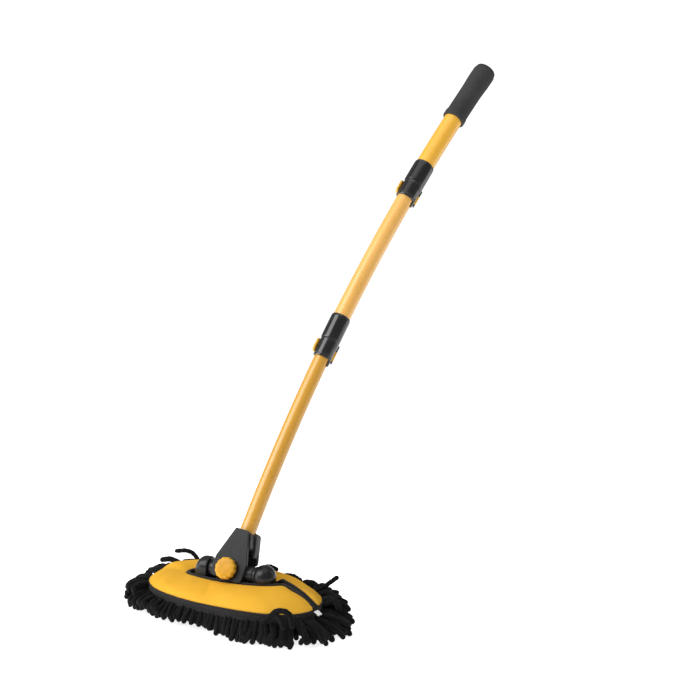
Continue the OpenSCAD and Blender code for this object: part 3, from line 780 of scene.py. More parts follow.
def dome(cx, r_low, r_top, keep, skirt):
    """a post with a round head, cut flat on the side that faces the hub"""
    prof = [(0, PT), (r_low + skirt, PT), (r_low + skirt, PT + 1.2), (r_low + skirt * .35, PT + 2.6)] + [(r_low, z) for z in (PT + 4.2, 29, 33, 37, 41, 44.6)]
    for k in range(1, 22):
        a = math.radians(-28 + 118 * k / 22)
        if r_top * math.cos(a) < prof[-1][0] and a < 0:
            continue
        prof.append((r_top * math.cos(a), PZ + r_top * math.sin(a)))
    prof.append((0, PZ + r_top))
    V, Fc = lathe(prof, lambda z: F([cx, J[1], z], [1, 0, 0], [0, 1, 0], [0, 0, 1]), 96)
    me = bpy.data.meshes.new("t"); me.from_pydata(V.tolist(), [], Fc)
    bm = bmesh.new(); bm.from_mesh(me)
    bmesh.ops.recalc_face_normals(bm, faces=bm.faces)
    for inset, slope in ((0.0, 0), (0.75, 45)):
        no = (keep * -math.cos(math.radians(slope)), 0, math.sin(math.radians(slope)))
        if slope:
            continue
        r = bmesh.ops.bisect_plane(bm, geom=bm.verts[:] + bm.edges[:] + bm.faces[:], plane_co=(keep * (28.3 + inset), 0, 0), plane_no=no, clear_outer=True)
        ed = [e for e in r["geom_cut"] if isinstance(e, bmesh.types.BMEdge)]
        bmesh.ops.contextual_create(bm, geom=ed)
    bmesh.ops.recalc_face_normals(bm, faces=bm.faces)
    bmesh.ops.triangulate(bm, faces=[f for f in bm.faces if len(f.verts) > 4])
    bm.verts.ensure_lookup_table()
    V = np.array([v.co[:] for v in bm.verts]); Fc = [[v.index for v in f.verts] for f in bm.faces]
    bm.free(); bpy.data.meshes.remove(me)
    return V, Fc


def arch_block():
    rings = []
    prof = [(-28.3, 10.9), (-28.45, 11.45), (-28.9, 11.85), (-29.7, 12.0), (-33, 12.0), (-36, 11.95), (-39, 11.5), (-41.6, 10.5), (-43.8, 9.0), (-45.5, 7.0), (-46.5, 4.6), (-46.9, 2.2), (-47.0, 0.4)]
    for x, r in prof:
        loop = [(-r, PT), (-r, PT + 7), (-r, PT + 14), (-r, PT + 21)]
        h = PZ + (r - 12.0) * 0.9
        for k in range(25):
            a = math.pi * (1 - k / 24)
            loop.append((r * math.cos(a), h + r * math.sin(a) * 1.0))
        loop += [(r, PT + 21), (r, PT + 14), (r, PT + 7), (r, PT)]
        rings.append([[x, J[1] + y, z] for y, z in loop])
    return grid(rings, True, False)


V, Fc = arch_block()
add("pillow_left", V, Fc, "head", GLOSS, ["left_pillow_block"], 40)
V, Fc = dome(40.0, 12.8, 13.2, 1, 0.3)
parts = [(V, Fc), lathe([(0, 28.35), (8.4, 28.35), (9.2, 28.6), (9.5, 29.3), (9.5, 39), (0, 39)], xw, 64)]
V, Fc = merge(parts)
add("pillow_right", V, Fc, "head", GLOSS, ["right_pillow_block"], 40)

# pins and pillow screws
parts = [lathe([(0, x), (2.6, x), (3, x + .4), (3, x + l - .4), (2.6, x + l), (0, x + l)], xw, 40) for x, l in ((-44.5, 28), (16.5, 28))]
V, Fc = merge(parts)
add("trunnion_pin_pair", V, Fc, "head", STEEL, ["trunnion_pins"])
parts = []
for x, y in ((-36, -9), (-36, 5), (40, -10), (40, 6)):
    pl = lambda k, x=x, y=y: F([x, y, k], [1, 0, 0], [0, 1, 0], [0, 0, 1])
    parts.append(lathe([(0, 23.1), (1.5, 23.1), (1.5, 30.4), (1.1, 30.9), (0, 31.1)], pl, 24))
V, Fc = merge(parts)
add("pillow_screw_set", V, Fc, "head", STEEL, ["pillow_screws"])

# base plate: an oval moulding with a raised rim
def oval(a, b, n, k=160, cx=0, cy=1):
    P, _ = even(lambda t: super_pt(a, b, n, t), k)
    return P + [cx, cy]
P = oval(90, 38, 2.4)
Nn = normals2(P)
rings = []
for z, ins in ((18.05, .8), (18.0, 1.2), (18.0, 4), (18.0, 30)):
    rings.append(np.column_stack([P - Nn * ins, np.full(len(P), z)]))
rings = rings[::-1]
for z, ins in ((18.4, .15), (18.9, 0), (20.8, 0), (21.2, .2), (21.4, .7), (21.4, 2.6), (21.2, 2.9), (20.9, 3.3), (20.9, 30)):
    rings.append(np.column_stack([P - Nn * ins, np.full(len(P), z)]))
V, Fc = grid(rings, True, False)
add("base_plate_moulding", V, Fc, "head", BLACK, ["base_plate"], 36)

# ------------------------------------------------------------------ cover (mm)
CA, CB, CN = 104.0, 49.5, 2.4          # outer seam
OA, OB, ON, OCX = 60.5, 21.5, 2.2, 0.5  # opening
SL_P, SL_A = np.array([50.0, 5.0]), math.radians(-12.0)   # slit line, before the +1 shift of the pad's centre
SD = np.array([math.cos(SL_A), math.sin(SL_A)]); SN = np.array([-SD[1], SD[0]])
HALF = 3.3                              # half the slit's width, filled by the two bound edges


def meet(a, b, n, cx, off):
    """parameter where the superellipse crosses the slit line moved sideways by off"""
    best = None
    for t in np.linspace(-0.9, 0.9, 6001):
        p = super_pt(a, b, n, t) + [cx, 0]
        d = (p - (SL_P + SN * off)) @ SN
        if best is None or abs(d) < best[0]:
            best = (abs(d), t)
    return best[1]


def ring_pts(a, b, n, cx, k):
    """k points from the slit's front side round the left to its back side"""
    ta, tb = meet(a, b, n, cx, -HALF), meet(a, b, n, cx, HALF)
    P, L = even(lambda t: super_pt(a, b, n, t) + [cx, 0], k, ta, tb - 2 * math.pi, closed=False)
    return P, L


KV = 220
OUT, _ = ring_pts(CA, CB, CN, 0, KV)
INN, _ = ring_pts(OA, OB, ON, OCX, KV)
def draw_in(P):
    """the front edge of the opening is drawn in toward the hub"""
    Q = np.array(P, float)
    f = np.clip(-Q[:, 1] / 6, 0, 1)
    Q[:, 1] *= 1 - 0.14 * f * f * (3 - 2 * f)
    return Q
INN = draw_in(INN)
OUTN = normals2(OUT, False)
if ((OUT) * OUTN).sum() < 0:
    OUTN = -OUTN


def sm(t):
    t = min(1, max(0, t))
    return t * t * (3 - 2 * t)


def lip_front(x):
    """top of the bound edge along the front of the opening and down the slit"""
    return float(np.interp(x, [-72, -64, -57, -39, -4, 43, 57, 66, 72, 80, 87, 95, 100, 104.5],
                           [39.0, 40.0, 41.4, 43.8, 44.7, 47.2, 47.6, 46.6, 45.3, 42.8, 40.3, 36.2, 33.4, 30.6]))


def lip_top(x, y):
    fr = max(sm((3 - y) / 8), sm((x - 46) / 12))
    return 40.6 + (lip_front(x) - 40.6) * fr


def cover_rings(grow=0.0):
    prof = [(None, -1.6, 25.0), (None, -0.3, 26.2), (None, 0.5, 27.4), (None, 0.9, 28.7), (None, 0.8, 30.2), (0.004, 0.3, 31.9), (0.022, 0, 33.8), (0.055, 0, 35.9), (0.10, 0, 37.7),
            (0.16, 0, 39.3), (0.23, 0, 40.6), (0.31, 0, 41.5), (0.40, 0, 42.1), (0.49, 0, 42.4), (0.58, 0, 42.4), (0.67, 0, 42.1), (0.76, 0, 41.4), (0.84, 0, 40.4),
            (0.91, 0, 39.2), (0.96, 0, 38.0), (0.99, 0, 36.6), (0.99, 0, 34.5), (0.96, 0, 31.0), (0.92, 0, 27.5), (0.86, 0, 25.3), (0.6, 0, 25.0), (0.35, 0, 25.0), (0.12, 0, 25.0)]
    rings = []
    for i in range(KV):
        o, q, nn = OUT[i], INN[i], OUTN[i]
        e = min(i, KV - 1 - i)
        sink = [3.2, 2.0, 1.1, 0.55, 0.2, 0.05][e] if e < 6 else 0
        front = sm((4 - q[1]) / 8) if i < KV / 2 else sm((4 - q[1]) / 8) * (1 if q[0] < 0 else 0)
        right = sm((q[0] - 22) / 30)
        m = max(front, right)
        zl = lip_top(q[0], q[1])
        far = sm((KV - 1 - i) / 24)
        bl = 0.38 if i < KV / 2 else 0.38 + 0.40 * far * right * (1 - front)
        row = []
        for k, (w, off, z) in enumerate(prof):
            p = o + nn * off if w is None else o + (q - o) * w + nn * off
            zz = z
            if w is None and z > 28:
                zz = z - (z - 28.3) * 0.55 * right * (1 - front) * far
            elif w is not None and k < 18:
                old = z - 1.3 * max(0, (-p[0] - 62) / 45) ** 1.5 * (z - 33) / 9
                fc = min(1, (z - 28.5) / 13.9) if w < 0.5 else 1
                new = 28.5 + (zl - 1.0 - 28.5) * ((1 - bl) * fc + bl * (w / 0.9) ** 1.15)
                zz = old + (new - old) * m - sink * sm(w / 0.05)
            elif 18 <= k <= 20:
                new = zl - (1.25, 1.9, 3.0)[k - 18]
                zz = z + (new - z) * m - sink * 0.8
            elif k == 21:
                zz = z + (zl - 5.0 - z) * m - sink * 0.4
            row.append([p[0], p[1] + 1, zz])
        rings.append(row)
    return np.array(rings), len(prof)


def smoothed_cover():
    rg, npf = cover_rings()
    V, Fc = grid(rg, True, False)
    return V, Fc, npf


V, Fc, NP = smoothed_cover()
me = bpy.data.meshes.new("cover_padded"); me.from_pydata((V * 0.001).tolist(), [], Fc); me.validate()
bm = bmesh.new(); bm.from_mesh(me); bmesh.ops.recalc_face_normals(bm, faces=bm.faces); bm.to_mesh(me); bm.free()
cover = bpy.data.objects.new("cover_padded", me); SC.collection.objects.link(cover)
me.materials.append(KNIT)
rest = np.array([v.co[:] for v in me.vertices])
# the knit is blown out between its seams, then held near its cut shape
vg = cover.vertex_groups.new(name="pin")
for i in range(len(rest)):
    ring, k = divmod(i, NP)
    e = min(ring, KV - 1 - ring)
    hold = 1.0 if (k <= 1 or k >= 19 or e == 0) else (0.25 if k == 2 or k == 18 else 0.0)
    if hold:
        vg.add([i], hold, "REPLACE")
SC.frame_start, SC.frame_end = 1, 16
md = cover.modifiers.new("cloth", "CLOTH")
st = md.settings
st.quality = 6; st.mass = 0.25; st.tension_stiffness = 12; st.compression_stiffness = 8; st.shear_stiffness = 6; st.bending_stiffness = 1.2
st.use_pressure = True; st.uniform_pressure_force = 3.2
st.vertex_group_mass = "pin"; st.effector_weights.gravity = 0.0
st.shrink_min = -0.012
md.collision_settings.use_collision = False; md.collision_settings.use_self_collision = False
md.point_cache.frame_start, md.point_cache.frame_end = 1, 16
for f in range(1, 17):
    SC.frame_set(f)
dg = bpy.context.evaluated_depsgraph_get()
ev = cover.evaluated_get(dg).data
sim = np.array([v.co[:] for v in ev.vertices])
d = sim - rest
ln = np.linalg.norm(d, axis=1, keepdims=True)
cap = 0.0013
d = d * np.minimum(1, cap / np.maximum(ln, 1e-9))
g3 = d.reshape(KV, NP, 3)
for _ in range(14):      # the padding evens the pull out along the cover
    g3[1:-1] = (g3[:-2] + 2 * g3[1:-1] + g3[2:]) / 4
d = g3.reshape(-1, 3)
cover.modifiers.clear()
SC.frame_set(1)
new = rest + d
me.vertices.foreach_set("co", new.astype(np.float32).ravel()); me.update()
print("cover sim moved", round(float(ln.max()) * 1000, 2), "mm, mean", round(float(ln.mean()) * 1000, 2))
# hand: shallow dimples in the knit, and a soft crease ahead of the hub
co = np.array([v.co[:] for v in me.vertices]) * 1000
nr = np.array([v.normal[:] for v in me.vertices])
for i, p in enumerate(co):
    if p[2] < 31:
        continue
    k = min(1, (p[2] - 31) / 6)
    a = 0.35 * noise.noise(Vector((p[0] * .035, p[1] * .05, 3.1))) + 0.14 * noise.noise(Vector((p[0] * .12, p[1] * .14, 9.7)))
    s = (p[0] + 14 + 0.28 * (p[1] + 30)) / 2.6
    cr = -0.55 * math.exp(-s * s) * max(0, min(1, (-p[1] - 16) / 8)) * max(0, min(1, (p[1] + 46) / 10))
    co[i] = p + nr[i] * (a + cr) * k
me.vertices.foreach_set("co", (co * 0.001).astype(np.float32).ravel()); me.update()
m = cover.modifiers.new("sub", "SUBSURF"); m.levels = m.render_levels = 1
bake(cover)
cover.data.shade_smooth()
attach(cover, "head"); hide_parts("pad_cover", "sponge_core")
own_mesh(cover)

# ------------------------------------------------------------------ tapes
def sweep(path, sec, closed=False, up=(0, 0, 1), twist=None, caps=True):
    """section points (side, up) carried along a 3D path; side points to the left of travel as seen from above"""
    P = np.array(path, float); n = len(P)
    d = (np.roll(P, -1, 0) - np.roll(P, 1, 0)) if closed else np.gradient(P, axis=0)
    d /= np.maximum(np.linalg.norm(d, axis=1, keepdims=True), 1e-9)
    rings = []
    for i in range(n):
        upv = np.array(up if not callable(up) else up(i), float)
        side = np.cross(upv, d[i]); side /= max(np.linalg.norm(side), 1e-9)
        u2 = np.cross(d[i], side)
        s = sec(i) if callable(sec) else sec
        rings.append([P[i] + side * a + u2 * b for a, b in s])
    return grid(rings, True, closed, cap=caps and not closed)


# edge band: a woven tape folded round the cover's rim, with a corded top and bottom
BP, BL = even(lambda t: super_pt(CA + 1.4, CB + 1.4, CN, t), 300)
BNn = normals2(BP)
if (BP * BNn).sum() < 0:
    BNn = -BNn
def band_sec(i):
    t = i / 300 * 2 * math.pi
    q = []
    # (outward, z)
    for a in np.linspace(140, -20, 7):
        q.append((-0.2 + 1.25 * math.cos(math.radians(a)), 27.6 + 1.25 * math.sin(math.radians(a))))
    q += [(0.55, 26.2), (0.35, 24.6), (0.4, 22.9), (0.7, 21.3)]
    for a in np.linspace(40, -150, 8):
        q.append((0.35 + 1.3 * math.cos(math.radians(a)), 19.9 + 1.3 * math.sin(math.radians(a))))
    q += [(-1.6, 20.2), (-2.0, 23.5), (-2.0, 27.0)]
    return q
rings = []
for i in range(300):
    wv = 0.18 * noise.noise(Vector((BP[i][0] * .06, BP[i][1] * .06, 1.7)))
    rings.append([[BP[i][0] + BNn[i][0] * o, BP[i][1] + 1 + BNn[i][1] * o, z + wv + (0.25 * noise.noise(Vector((BP[i][0] * .02, BP[i][1] * .02, 5.0))))] for o, z in band_sec(i)])
V, Fc = grid(rings, True, True)
band = add("band_tape", V, Fc, "head", TAPE, ["cover_band"], 60)

# stitches on the band: a row of short raised threads under the top cord
def stitches(name, path, nrm, step, ln, r, body, mat):
    """small rounded thread bumps along a path of points with outward normals"""
    P = np.array(path, float); d = np.concatenate([[0], np.cumsum(np.linalg.norm(np.diff(P, axis=0), axis=1))])
    parts = []
    for s in np.arange(step, d[-1] - step, step):
        c = np.array([np.interp(s, d, P[:, k]) for k in range(3)])
        e = np.array([np.interp(s + .4, d, P[:, k]) for k in range(3)])
        nn = np.array([np.interp(s, d, np.array(nrm)[:, k]) for k in range(3)])
        tx = (e - c) / max(np.linalg.norm(e - c), 1e-9)
        nn = nn - tx * (nn @ tx); nn /= max(np.linalg.norm(nn), 1e-9)
        b = np.cross(tx, nn)
        rr = []
        for w, h in ((-1, .05), (-.86, .6), (-.45, 1), (0, 1.08), (.45, 1), (.86, .6), (1, .05)):
            rr.append([c + tx * (w * ln / 2) + nn * (math.cos(q) * r * h * .8 + .05 * h) + b * (math.sin(q) * r * h) for q in np.linspace(0, 2 * math.pi, 6, endpoint=False)])
        parts.append(grid(rr, True, False))
    V, Fc = merge(parts)
    return add(name, V, Fc, body, mat, sharp=180)


STITCH = mat_tape("thread", (0.03, 0.028, 0.027), 0.0004)
bp3 = np.column_stack([BP + BNn * 0.5 + [0, 1], np.full(300, 25.6)])
bp3 = np.concatenate([bp3, bp3[:1]]); bn3 = np.column_stack([BNn, np.full(300, 0.1)]); bn3 = np.concatenate([bn3, bn3[:1]])
st_band = stitches("band_stitches", bp3, bn3, 3.1, 2.2, 0.34, "head", STITCH)

# binding round the opening and along both sides of the slit, one continuous folded tape
pin, _ = ring_pts(OA - 0.2, OB - 0.2, ON, OCX, 260)
pin = draw_in(pin)
A0, B0 = OUT[0], OUT[-1]
def side_line(p0, p1, n):
    return [p0 + (p1 - p0) * k / n for k in range(n)]
path2 = side_line(A0 + SD * 1.0, pin[0], 26) + list(pin) + side_line(pin[-1], B0 + SD * 1.0, 26)[1:] + [B0 + SD * 1.0]
path2 = np.array(path2)
for _ in range(26):        # ease the two corners where the slit runs into the opening
    q = path2.copy(); q[1:-1] = (path2[:-2] + 2 * path2[1:-1] + path2[2:]) / 4; path2 = q
dd = np.concatenate([[0], np.cumsum(np.linalg.norm(np.diff(path2, axis=0), axis=1))])
ww = np.linspace(0, dd[-1], 330)
path2 = np.stack([np.interp(ww, dd, path2[:, k]) for k in range(2)], 1)
def zbind(p):
    """centre height of the bound edge"""
    return lip_top(p[0], p[1]) - 1.35
bpath = np.array([[p[0], p[1] + 1, zbind(p)] for p in path2])
for _ in range(4):
    bpath[1:-1, 2] = (bpath[:-2, 2] + 2 * bpath[1:-1, 2] + bpath[2:, 2]) / 4
def bsec(i):
    """a rounded roll over the edge with its inner flap hanging into the opening (side > 0 is toward the opening)"""
    return [(-1.2, -1.85), (-2.0, -1.2), (-2.25, -0.4), (-2.05, 0.45), (-1.5, 0.98), (-0.7, 1.25), (0.2, 1.3), (1.1, 1.1), (1.8, 0.65), (2.25, -0.1), (2.4, -1.2),
            (2.4, -3.4), (2.3, -6.0), (2.15, -9.0), (1.9, -9.25), (1.5, -9.1), (1.4, -6.0), (1.35, -3.4), (1.0, -2.0), (0.0, -1.95)]
V, Fc = sweep(bpath, bsec)
bind = add("opening_tape", V, Fc, "head", TAPE, ["opening_binding"], 60)
dirs = np.gradient(bpath, axis=0); dirs /= np.linalg.norm(dirs, axis=1, keepdims=True)
sidev = np.cross([0, 0, 1.0], dirs)
cen = bpath.mean(0)
# stitches sit on the outer shoulder of the tape, away from the opening
sg = -1 if (sidev[165] @ (np.array([OCX, 1, 40]) - bpath[165])) > 0 else 1
sp = bpath + sidev * sg * 1.15 + [0, 0, 1.02]
st_open = stitches("opening_stitches", sp, np.column_stack([sidev[:, :2] * sg * .5, np.full(len(sp), 1.0)]), 3.0, 2.1, 0.32, "head", STITCH)
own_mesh(bind)
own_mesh(st_open)

# care tag: a blank folded ribbon caught in the band's seam, lying out on the fringe
def tagmesh():
    base = np.array([107.0, -10.5, 28.0]); out = np.array([0.93, -0.30, -0.2]); out /= np.linalg.norm(out)
    side = np.array([0.30, 0.95, -0.02]); side /= np.linalg.norm(side)
    nrm = np.cross(out, side); nrm /= np.linalg.norm(nrm)
    nrm = nrm if nrm[2] > 0 else -nrm
    rows = []
    nx, ny = 10, 12
    top, bot = [], []
    for j in range(ny + 1):
        l = j / ny * 6.6
        r1, r2 = [], []
        for i in range(nx + 1):
            s = (i / nx - .5) * 6.2
            w = 0.35 * math.sin(s * .8 + l * .35) * (l / 10.5) - 0.028 * l * l
            c = base + out * l + side * s + nrm * w
            r1.append(c + nrm * (0.34 + (0.12 if j == ny else 0))); r2.append(c - nrm * (0.34 + 0))
        top.append(r1); bot.append(r2)
    rings = []
    for j in range(ny + 1):
        rings.append(top[j] + bot[j][::-1])
    return grid(rings, True, False)
V, Fc = tagmesh()
tag = add("blank_tag", V, Fc, "head", TAG, ["care_tag"], 50)

# ------------------------------------------------------------------ chenille
def finger(path, r0, n_side=9, tip=4, knob=0.06, seed=0.0, root=0.8, flat_tip=0.0):
    """a round-ended rope of pile along a path; r0 its radius"""
    P = np.array(path, float); n = len(P)
    d = np.gradient(P, axis=0); d /= np.maximum(np.linalg.norm(d, axis=1, keepdims=True), 1e-9)
    up = np.array([0.13, 0.21, 0.97]) if abs(d[0][2]) < .9 else np.array([1.0, 0, 0.1])
    side = np.cross(up, d[0]); side /= np.linalg.norm(side)
    rings = []
    for i in range(n):
        side = side - d[i] * (side @ d[i]); side /= max(np.linalg.norm(side), 1e-9)
        b = np.cross(d[i], side)
        w = i / (n - 1)
        r = r0 * (root + (1 - root) * min(1, w * 3.2)) * (1 + knob * math.sin(seed + i * 2.1) + 0.5 * knob * math.sin(seed * 3 + i * 4.3))
        rings.append([P[i] + (side * math.cos(a) + b * math.sin(a)) * r * (1 + 0.05 * math.sin(3 * a + seed + i)) for a in np.linspace(0, 2 * math.pi, n_side, endpoint=False)])
    last, dl, rl = P[-1], d[-1], r0
    for k in range(1, tip):
        a = math.pi / 2 * k / tip
        rings.append([last + dl * r0 * math.sin(a) * .95 + (side * math.cos(q) + np.cross(dl, side) * math.sin(q)) * r0 * math.cos(a) for q in np.linspace(0, 2 * math.pi, n_side, endpoint=False)])
    V, Fc = grid(rings, True, False, cap=False)
    nV = len(V); lastr = nV - n_side
    V = np.concatenate([V, [P[0]], [last + dl * r0 * 0.97]])
    for k in range(n_side):
        Fc.append([nV, (k + 1) % n_side, k]); Fc.append([nV + 1, lastr + k, lastr + (k + 1) % n_side])
    return V, Fc


def hang(p0, head, L, phi0, phi1, r, m=12, sway=0.0, power=0.8, floor=None):
    """centreline of a finger: heading (angle in plan), falling from phi0 to phi1 degrees below level, and laid on the floor where it reaches it"""
    pts = [np.array(p0, float)]
    floor = r + 0.15 if floor is None else floor
    for i in range(m):
        w = (i + .5) / m
        ph = math.radians(phi0 + (phi1 - phi0) * w ** power)
        h = head + sway * (w - .3)
        st = L / m
        q = pts[-1] + st * np.array([math.cos(ph) * math.cos(h), math.cos(ph) * math.sin(h), -math.sin(ph)])
        if q[2] < floor:
            dz = pts[-1][2] - floor
            hz = math.sqrt(max(st * st - max(dz, 0) ** 2, 0.05))
            q = pts[-1] + [math.cos(h) * hz, math.sin(h) * hz, 0]; q[2] = floor
        pts.append(q)
    return np.array(pts)


def reach(th):
    """how far the fringe spreads past the band, by direction in plan"""
    c, s = math.cos(th), math.sin(th)
    return (36 if c > 0 else 28.5) * abs(c) ** 2.0 + (8.0 if s < 0 else 10.0) * abs(s) ** 1.2


parts = []
for row, (count, inset, z0, kr) in enumerate(((104, 0.4, 19.6, 1.0), (104, 2.6, 18.9, .9), (100, 5.5, 18.4, .72), (92, 9.5, 18.0, .5), (80, 14, 17.8, .25))):
    Q, _ = even(lambda t: super_pt(CA + 1.0 - inset, CB + 1.0 - inset, CN, t), count)
    NQ = normals2(Q)
    if (Q * NQ).sum() < 0:
        NQ = -NQ
    for i in range(count):
        th = math.atan2(Q[i][1] * 1.6, Q[i][0])
        head = math.atan2(NQ[i][1], NQ[i][0]) + rng.normal(0, 0.2)
        # the fringe leans a little toward the pad's right end, as if drawn along
        head += -0.14 * math.sin(head)
        clump = noise.noise(Vector((Q[i][0] * .05, Q[i][1] * .05, 2.0 + row)))
        R0 = reach(th) * kr * rng.uniform(.78, 1.14) * (1 + 0.22 * clump)
        r = rng.uniform(2.7, 3.2)
        fl = sm((25 - Q[i][0]) / 40) * sm((-Q[i][1] + 10) / 25)      # the front left is cut a little higher off the ground
        tz = (1.2 + 4.6 * fl) + rng.uniform(0, 4.2) + r
        drop = max(3.0, z0 - tz)
        L = math.hypot(R0, drop) * rng.uniform(.94, 1.08) + 1.0
        am = math.degrees(math.atan2(drop, max(R0, 0.5)))
        a0 = am - 15 + rng.normal(0, 7)
        a1 = min(95, am + 13 + rng.normal(0, 8))
        c = np.array([Q[i][0], Q[i][1] + 1, z0 + rng.uniform(-.6, .6)])
        pa = hang(c, head, L, a0, a1, r, 11, rng.normal(0, .22), 1.0)
        # keep inside the fringe's own outline
        lim = (144.0 if pa[-1][0] > 0 else 136.5), 63.5
        ex = np.abs((pa[:, :2] - [0, 1]) / lim)
        k = (ex ** 2.6).sum(1) ** (1 / 2.6)
        over = k > .975
        if over.any():
            f = np.where(over, .975 / k, 1)[:, None]
            pa[:, :2] = (pa[:, :2] - [0, 1]) * f + [0, 1]
        parts.append(finger(pa, r, 10, 4, .06, rng.uniform(0, 6), .86))
V, Fc = merge(parts)
fringe = add("fringe_rim", V, Fc, "head", CHEN, (), 180)

# the sole: rows of short fingers under the backing cloth
parts = []
px = 7.7
for jj, y in enumerate(np.arange(-44, 45, px * .87)):
    for x in np.arange(-98, 99, px):
        xx = x + (px / 2 if jj % 2 else 0) + rng.uniform(-.9, .9); yy = y + rng.uniform(-.9, .9)
        if (abs(xx) / 97) ** 2.4 + (abs(yy) / 43) ** 2.4 > 1:
            continue
        h = math.atan2(yy * 1.7, xx) + rng.normal(0, .9)
        r = rng.uniform(3.2, 3.6)
        pa = hang([xx, yy + 1, 17.2], h, rng.uniform(15, 22), rng.uniform(55, 85), rng.uniform(50, 88), r, 8, rng.normal(0, .4), 1.0)
        parts.append(finger(pa, r, 8, 3, .05, rng.uniform(0, 6)))
V, Fc = merge(parts)
sole = add("fringe_sole", V, Fc, "head", CHEN, (), 180)


def spline(pts, n=16):
    P = np.array(pts, float); P = np.vstack([2 * P[0] - P[1], P, 2 * P[-1] - P[-2]])
    out = []
    segs = len(P) - 3
    for i in range(segs):
        a, b, c, d = P[i:i + 4]
        for k in range(n // segs + 1):
            t = k / (n // segs + 1)
            out.append(.5 * ((2 * b) + (-a + c) * t + (2 * a - 5 * b + 4 * c - d) * t * t + (-a + 3 * b - 3 * c + d) * t ** 3))
    out.append(P[-2])
    return np.array(out)


stray = [
    ([(-72, 47, 27), (-80, 53, 32), (-90, 56, 38.5), (-101, 56, 39.6), (-113, 56, 37.2)], 2.7),
    ([(-92, 40, 24), (-101, 47, 25), (-112, 50, 27), (-121, 50, 27.5), (-129, 49, 25.5)], 3.4),
    ([(-66, 48, 26), (-76, 53, 28.5), (-88, 54, 29), (-99, 52, 27)], 3.1),
    ([(-100, 26, 24), (-111, 30, 26), (-121, 31, 24), (-129, 29, 19)], 3.5),
    ([(-104, 10, 24), (-114, 14, 26.5), (-124, 15, 23), (-129, 14, 16)], 3.5),
    ([(0, 50, 29), (7, 56, 35), (15, 58.5, 38), (25, 58, 36.5)], 3.0),
    ([(30, 50, 28), (38, 55, 31.5), (48, 56, 32.5), (58, 54, 30)], 3.3),
    ([(60, 46, 28), (68, 50, 31), (77, 50, 31.5), (85, 47, 29)], 3.3),
    ([(84, 36, 27), (90, 40, 31), (97, 40, 36), (104, 40, 42.5), (110, 40, 47.5)], 2.6),
    ([(92, 28, 27), (99, 32, 31), (106, 31, 32), (113, 27, 29)], 3.4),
    ([(101, 16, 27), (109, 20, 30), (117, 19, 29), (124, 15, 24)], 3.4),
    ([(69, -50, 25), (74, -49.5, 33.5), (81, -48.5, 37.8), (89, -48, 38.2), (95, -49, 34.4), (99, -53, 27)], 2.9),
    ([(65, -51, 24), (71, -51.5, 30.5), (78, -51, 33.4), (85, -52, 31.5), (90, -55, 25)], 3.0),
]
parts = [finger(spline(p, 18), r, 10, 4, .06, 1.3 * i) for i, (p, r) in enumerate(stray)]
# fingers thrown up over the band at both back corners before they fall
for a0_, a1_, n_, far_, up_ in ((9, 78, 23, 33, 30), (104, 206, 26, 29, 24)):
    for k in range(n_):
        th = math.radians(a0_ + (a1_ - a0_) * (k + rng.uniform(.2, .8)) / n_)
        q = super_pt(CA - 0.5, CB - 0.5, CN, th)
        nn = np.array([q[0] / CA ** 2, q[1] / CB ** 2]); nn /= np.linalg.norm(nn)
        hd = math.atan2(nn[1], nn[0]) + rng.normal(0, .22)
        side_w = abs(math.cos(th)) ** 1.3
        Lk = 14 + (far_ - 14) * side_w + rng.uniform(-3, 4)
        pa = hang([q[0] + nn[0] * 1.2, q[1] + 1 + nn[1] * 1.2, rng.uniform(23.0, 26.0)], hd, Lk, -up_ * rng.uniform(.6, 1.25), rng.uniform(38, 66), 3.0, 11, rng.normal(0, .25), 1.15)
        lim = (143.0 if q[0] > 0 else 136.0), 63.0
        ex = np.abs((pa[:, :2] - [0, 1]) / lim)
        kk = (ex ** 2.6).sum(1) ** (1 / 2.6)
        f = np.where(kk > .97, .97 / np.maximum(kk, 1e-6), 1)[:, None]
        pa[:, :2] = (pa[:, :2] - [0, 1]) * f + [0, 1]
        parts.append(finger(pa, rng.uniform(2.7, 3.2), 10, 4, .06, rng.uniform(0, 6), .86))
V, Fc = merge(parts)
loose = add("fringe_stray", V, Fc, "head", CHEN, (), 180)

# backing cloth: an oval sheet that turns up into the band all round
P, PL = even(lambda t: super_pt(1, 1, 2.4, t), 160)
rings = []
for k, z in ((.02, 18.0), (.2, 18.0), (.4, 17.95), (.6, 17.9), (.8, 17.95), (.92, 18.2), (.98, 18.9), (1.0, 19.8)):
    Q = np.column_stack([P[:, 0] * (CA - .6) * k, P[:, 1] * (CB - .6) * k + 1, np.full(len(P), z - .35)])
    rings.append(Q)
for k, z in ((1.0, 20.5), (.985, 19.6), (.93, 18.7), (.8, 18.4), (.6, 18.35), (.4, 18.4), (.2, 18.45), (.02, 18.45)):
    Q = np.column_stack([P[:, 0] * (CA - 1.4) * k, P[:, 1] * (CB - 1.4) * k + 1, np.full(len(P), z - .35)])
    rings.append(Q)
V, Fc = grid(rings, True, False)
back = add("backing_oval", V, Fc, "head", BACK, ["chenille_pad"], 60)
fw, fl = 0.101, 0.209

# ------------------------------------------------------------------ stage, lights, camera
def floor():
    me = bpy.data.meshes.new("floor")
    s = 14.0
    me.from_pydata([(-s, -s, 0), (s, -s, 0), (s, s, 0), (-s, s, 0)], [], [(0, 1, 2, 3)])
    ob = bpy.data.objects.new("floor", me); SC.collection.objects.link(ob)
    m = bpy.data.materials.new("floor"); m.use_nodes = True
    b = m.node_tree.nodes["Principled BSDF"]
    b.inputs["Base Color"].default_value = (0.86, 0.86, 0.865, 1)
    b.inputs["Roughness"].default_value = 0.9
    b.inputs["Specular IOR Level"].default_value = 0.1
    b.inputs["Emission Color"].default_value = (1, 1, 1, 1)
    b.inputs["Emission Strength"].default_value = 0.82
    me.materials.append(m)
floor()

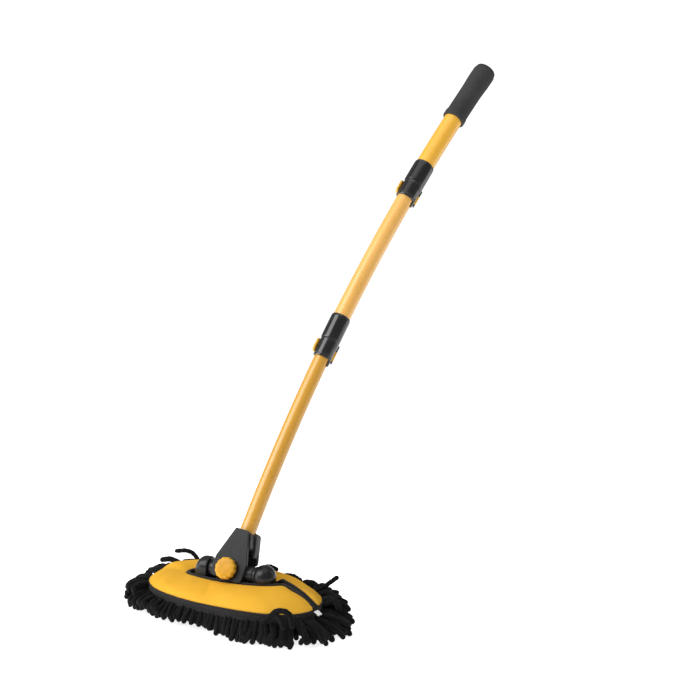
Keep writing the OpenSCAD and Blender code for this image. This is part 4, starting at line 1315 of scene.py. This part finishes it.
CP = Vector((426.4, -767.02, 384.85)) * 0.001
ROLL = -0.27
RT, UPV, FW = Vector((0.9267, 0.37475, 0.02803)), Vector((-0.05414, 0.05931, 0.99677)), Vector((-0.37187, 0.92523, -0.07525))
cam = bpy.data.cameras.new("camera"); cam.sensor_fit = "HORIZONTAL"; cam.angle = math.radians(46.304)
cam.clip_start, cam.clip_end = 0.01, 60
co_ = bpy.data.objects.new("camera", cam); SC.collection.objects.link(co_)
M = Matrix((RT, UPV, -FW)).transposed().to_4x4()
M = Matrix.Rotation(math.radians(ROLL), 4, (Vector((0.0, 0.0, 0.03)) - CP).normalized()) @ M; M.translation = CP
co_.matrix_world = M
SC.camera = co_


def area(name, pos, target, size, power, size_y=None, color=(1, 1, 1)):
    l = bpy.data.lights.new(name, "AREA"); l.shape = "RECTANGLE"; l.size = size; l.size_y = size_y or size; l.energy = power; l.color = color
    o = bpy.data.objects.new(name, l); SC.collection.objects.link(o)
    o.location = pos
    o.rotation_euler = (Vector(target) - Vector(pos)).to_track_quat("-Z", "Y").to_euler()
    return o


TG = Vector((0.15, 0.12, 0.3))
area("key", TG + RT * -1.25 + UPV * 1.0 - FW * 0.75, TG, 1.3, 24)
area("left_strip", TG + RT * -1.5 + UPV * 0.1 - FW * 0.15, TG, 0.7, 12, 1.8)
area("top", TG + UPV * 1.6 - FW * 0.3, TG, 1.6, 8)
area("right_rim", TG + RT * 1.5 + UPV * 0.3 + FW * 0.5, TG, 0.35, 3.2, 1.8)

w = bpy.data.worlds.new("world"); SC.world = w; w.use_nodes = True
nt = w.node_tree; nt.nodes.clear()
out = nt.nodes.new("ShaderNodeOutputWorld"); mix = nt.nodes.new("ShaderNodeMixShader")
b1 = nt.nodes.new("ShaderNodeBackground"); b2 = nt.nodes.new("ShaderNodeBackground"); lp = nt.nodes.new("ShaderNodeLightPath")
b1.inputs["Color"].default_value = (1, 1, 1, 1); b1.inputs["Strength"].default_value = 0.27
b2.inputs["Color"].default_value = (1, 1, 1, 1); b2.inputs["Strength"].default_value = 1.15
nt.links.new(lp.outputs["Is Camera Ray"], mix.inputs["Fac"])
nt.links.new(b1.outputs[0], mix.inputs[1]); nt.links.new(b2.outputs[0], mix.inputs[2]); nt.links.new(mix.outputs[0], out.inputs[0])
SC.view_settings.view_transform = "Standard"
SC.view_settings.look = "None"
SC.view_settings.exposure = 0.0
SC.view_settings.gamma = 1.0
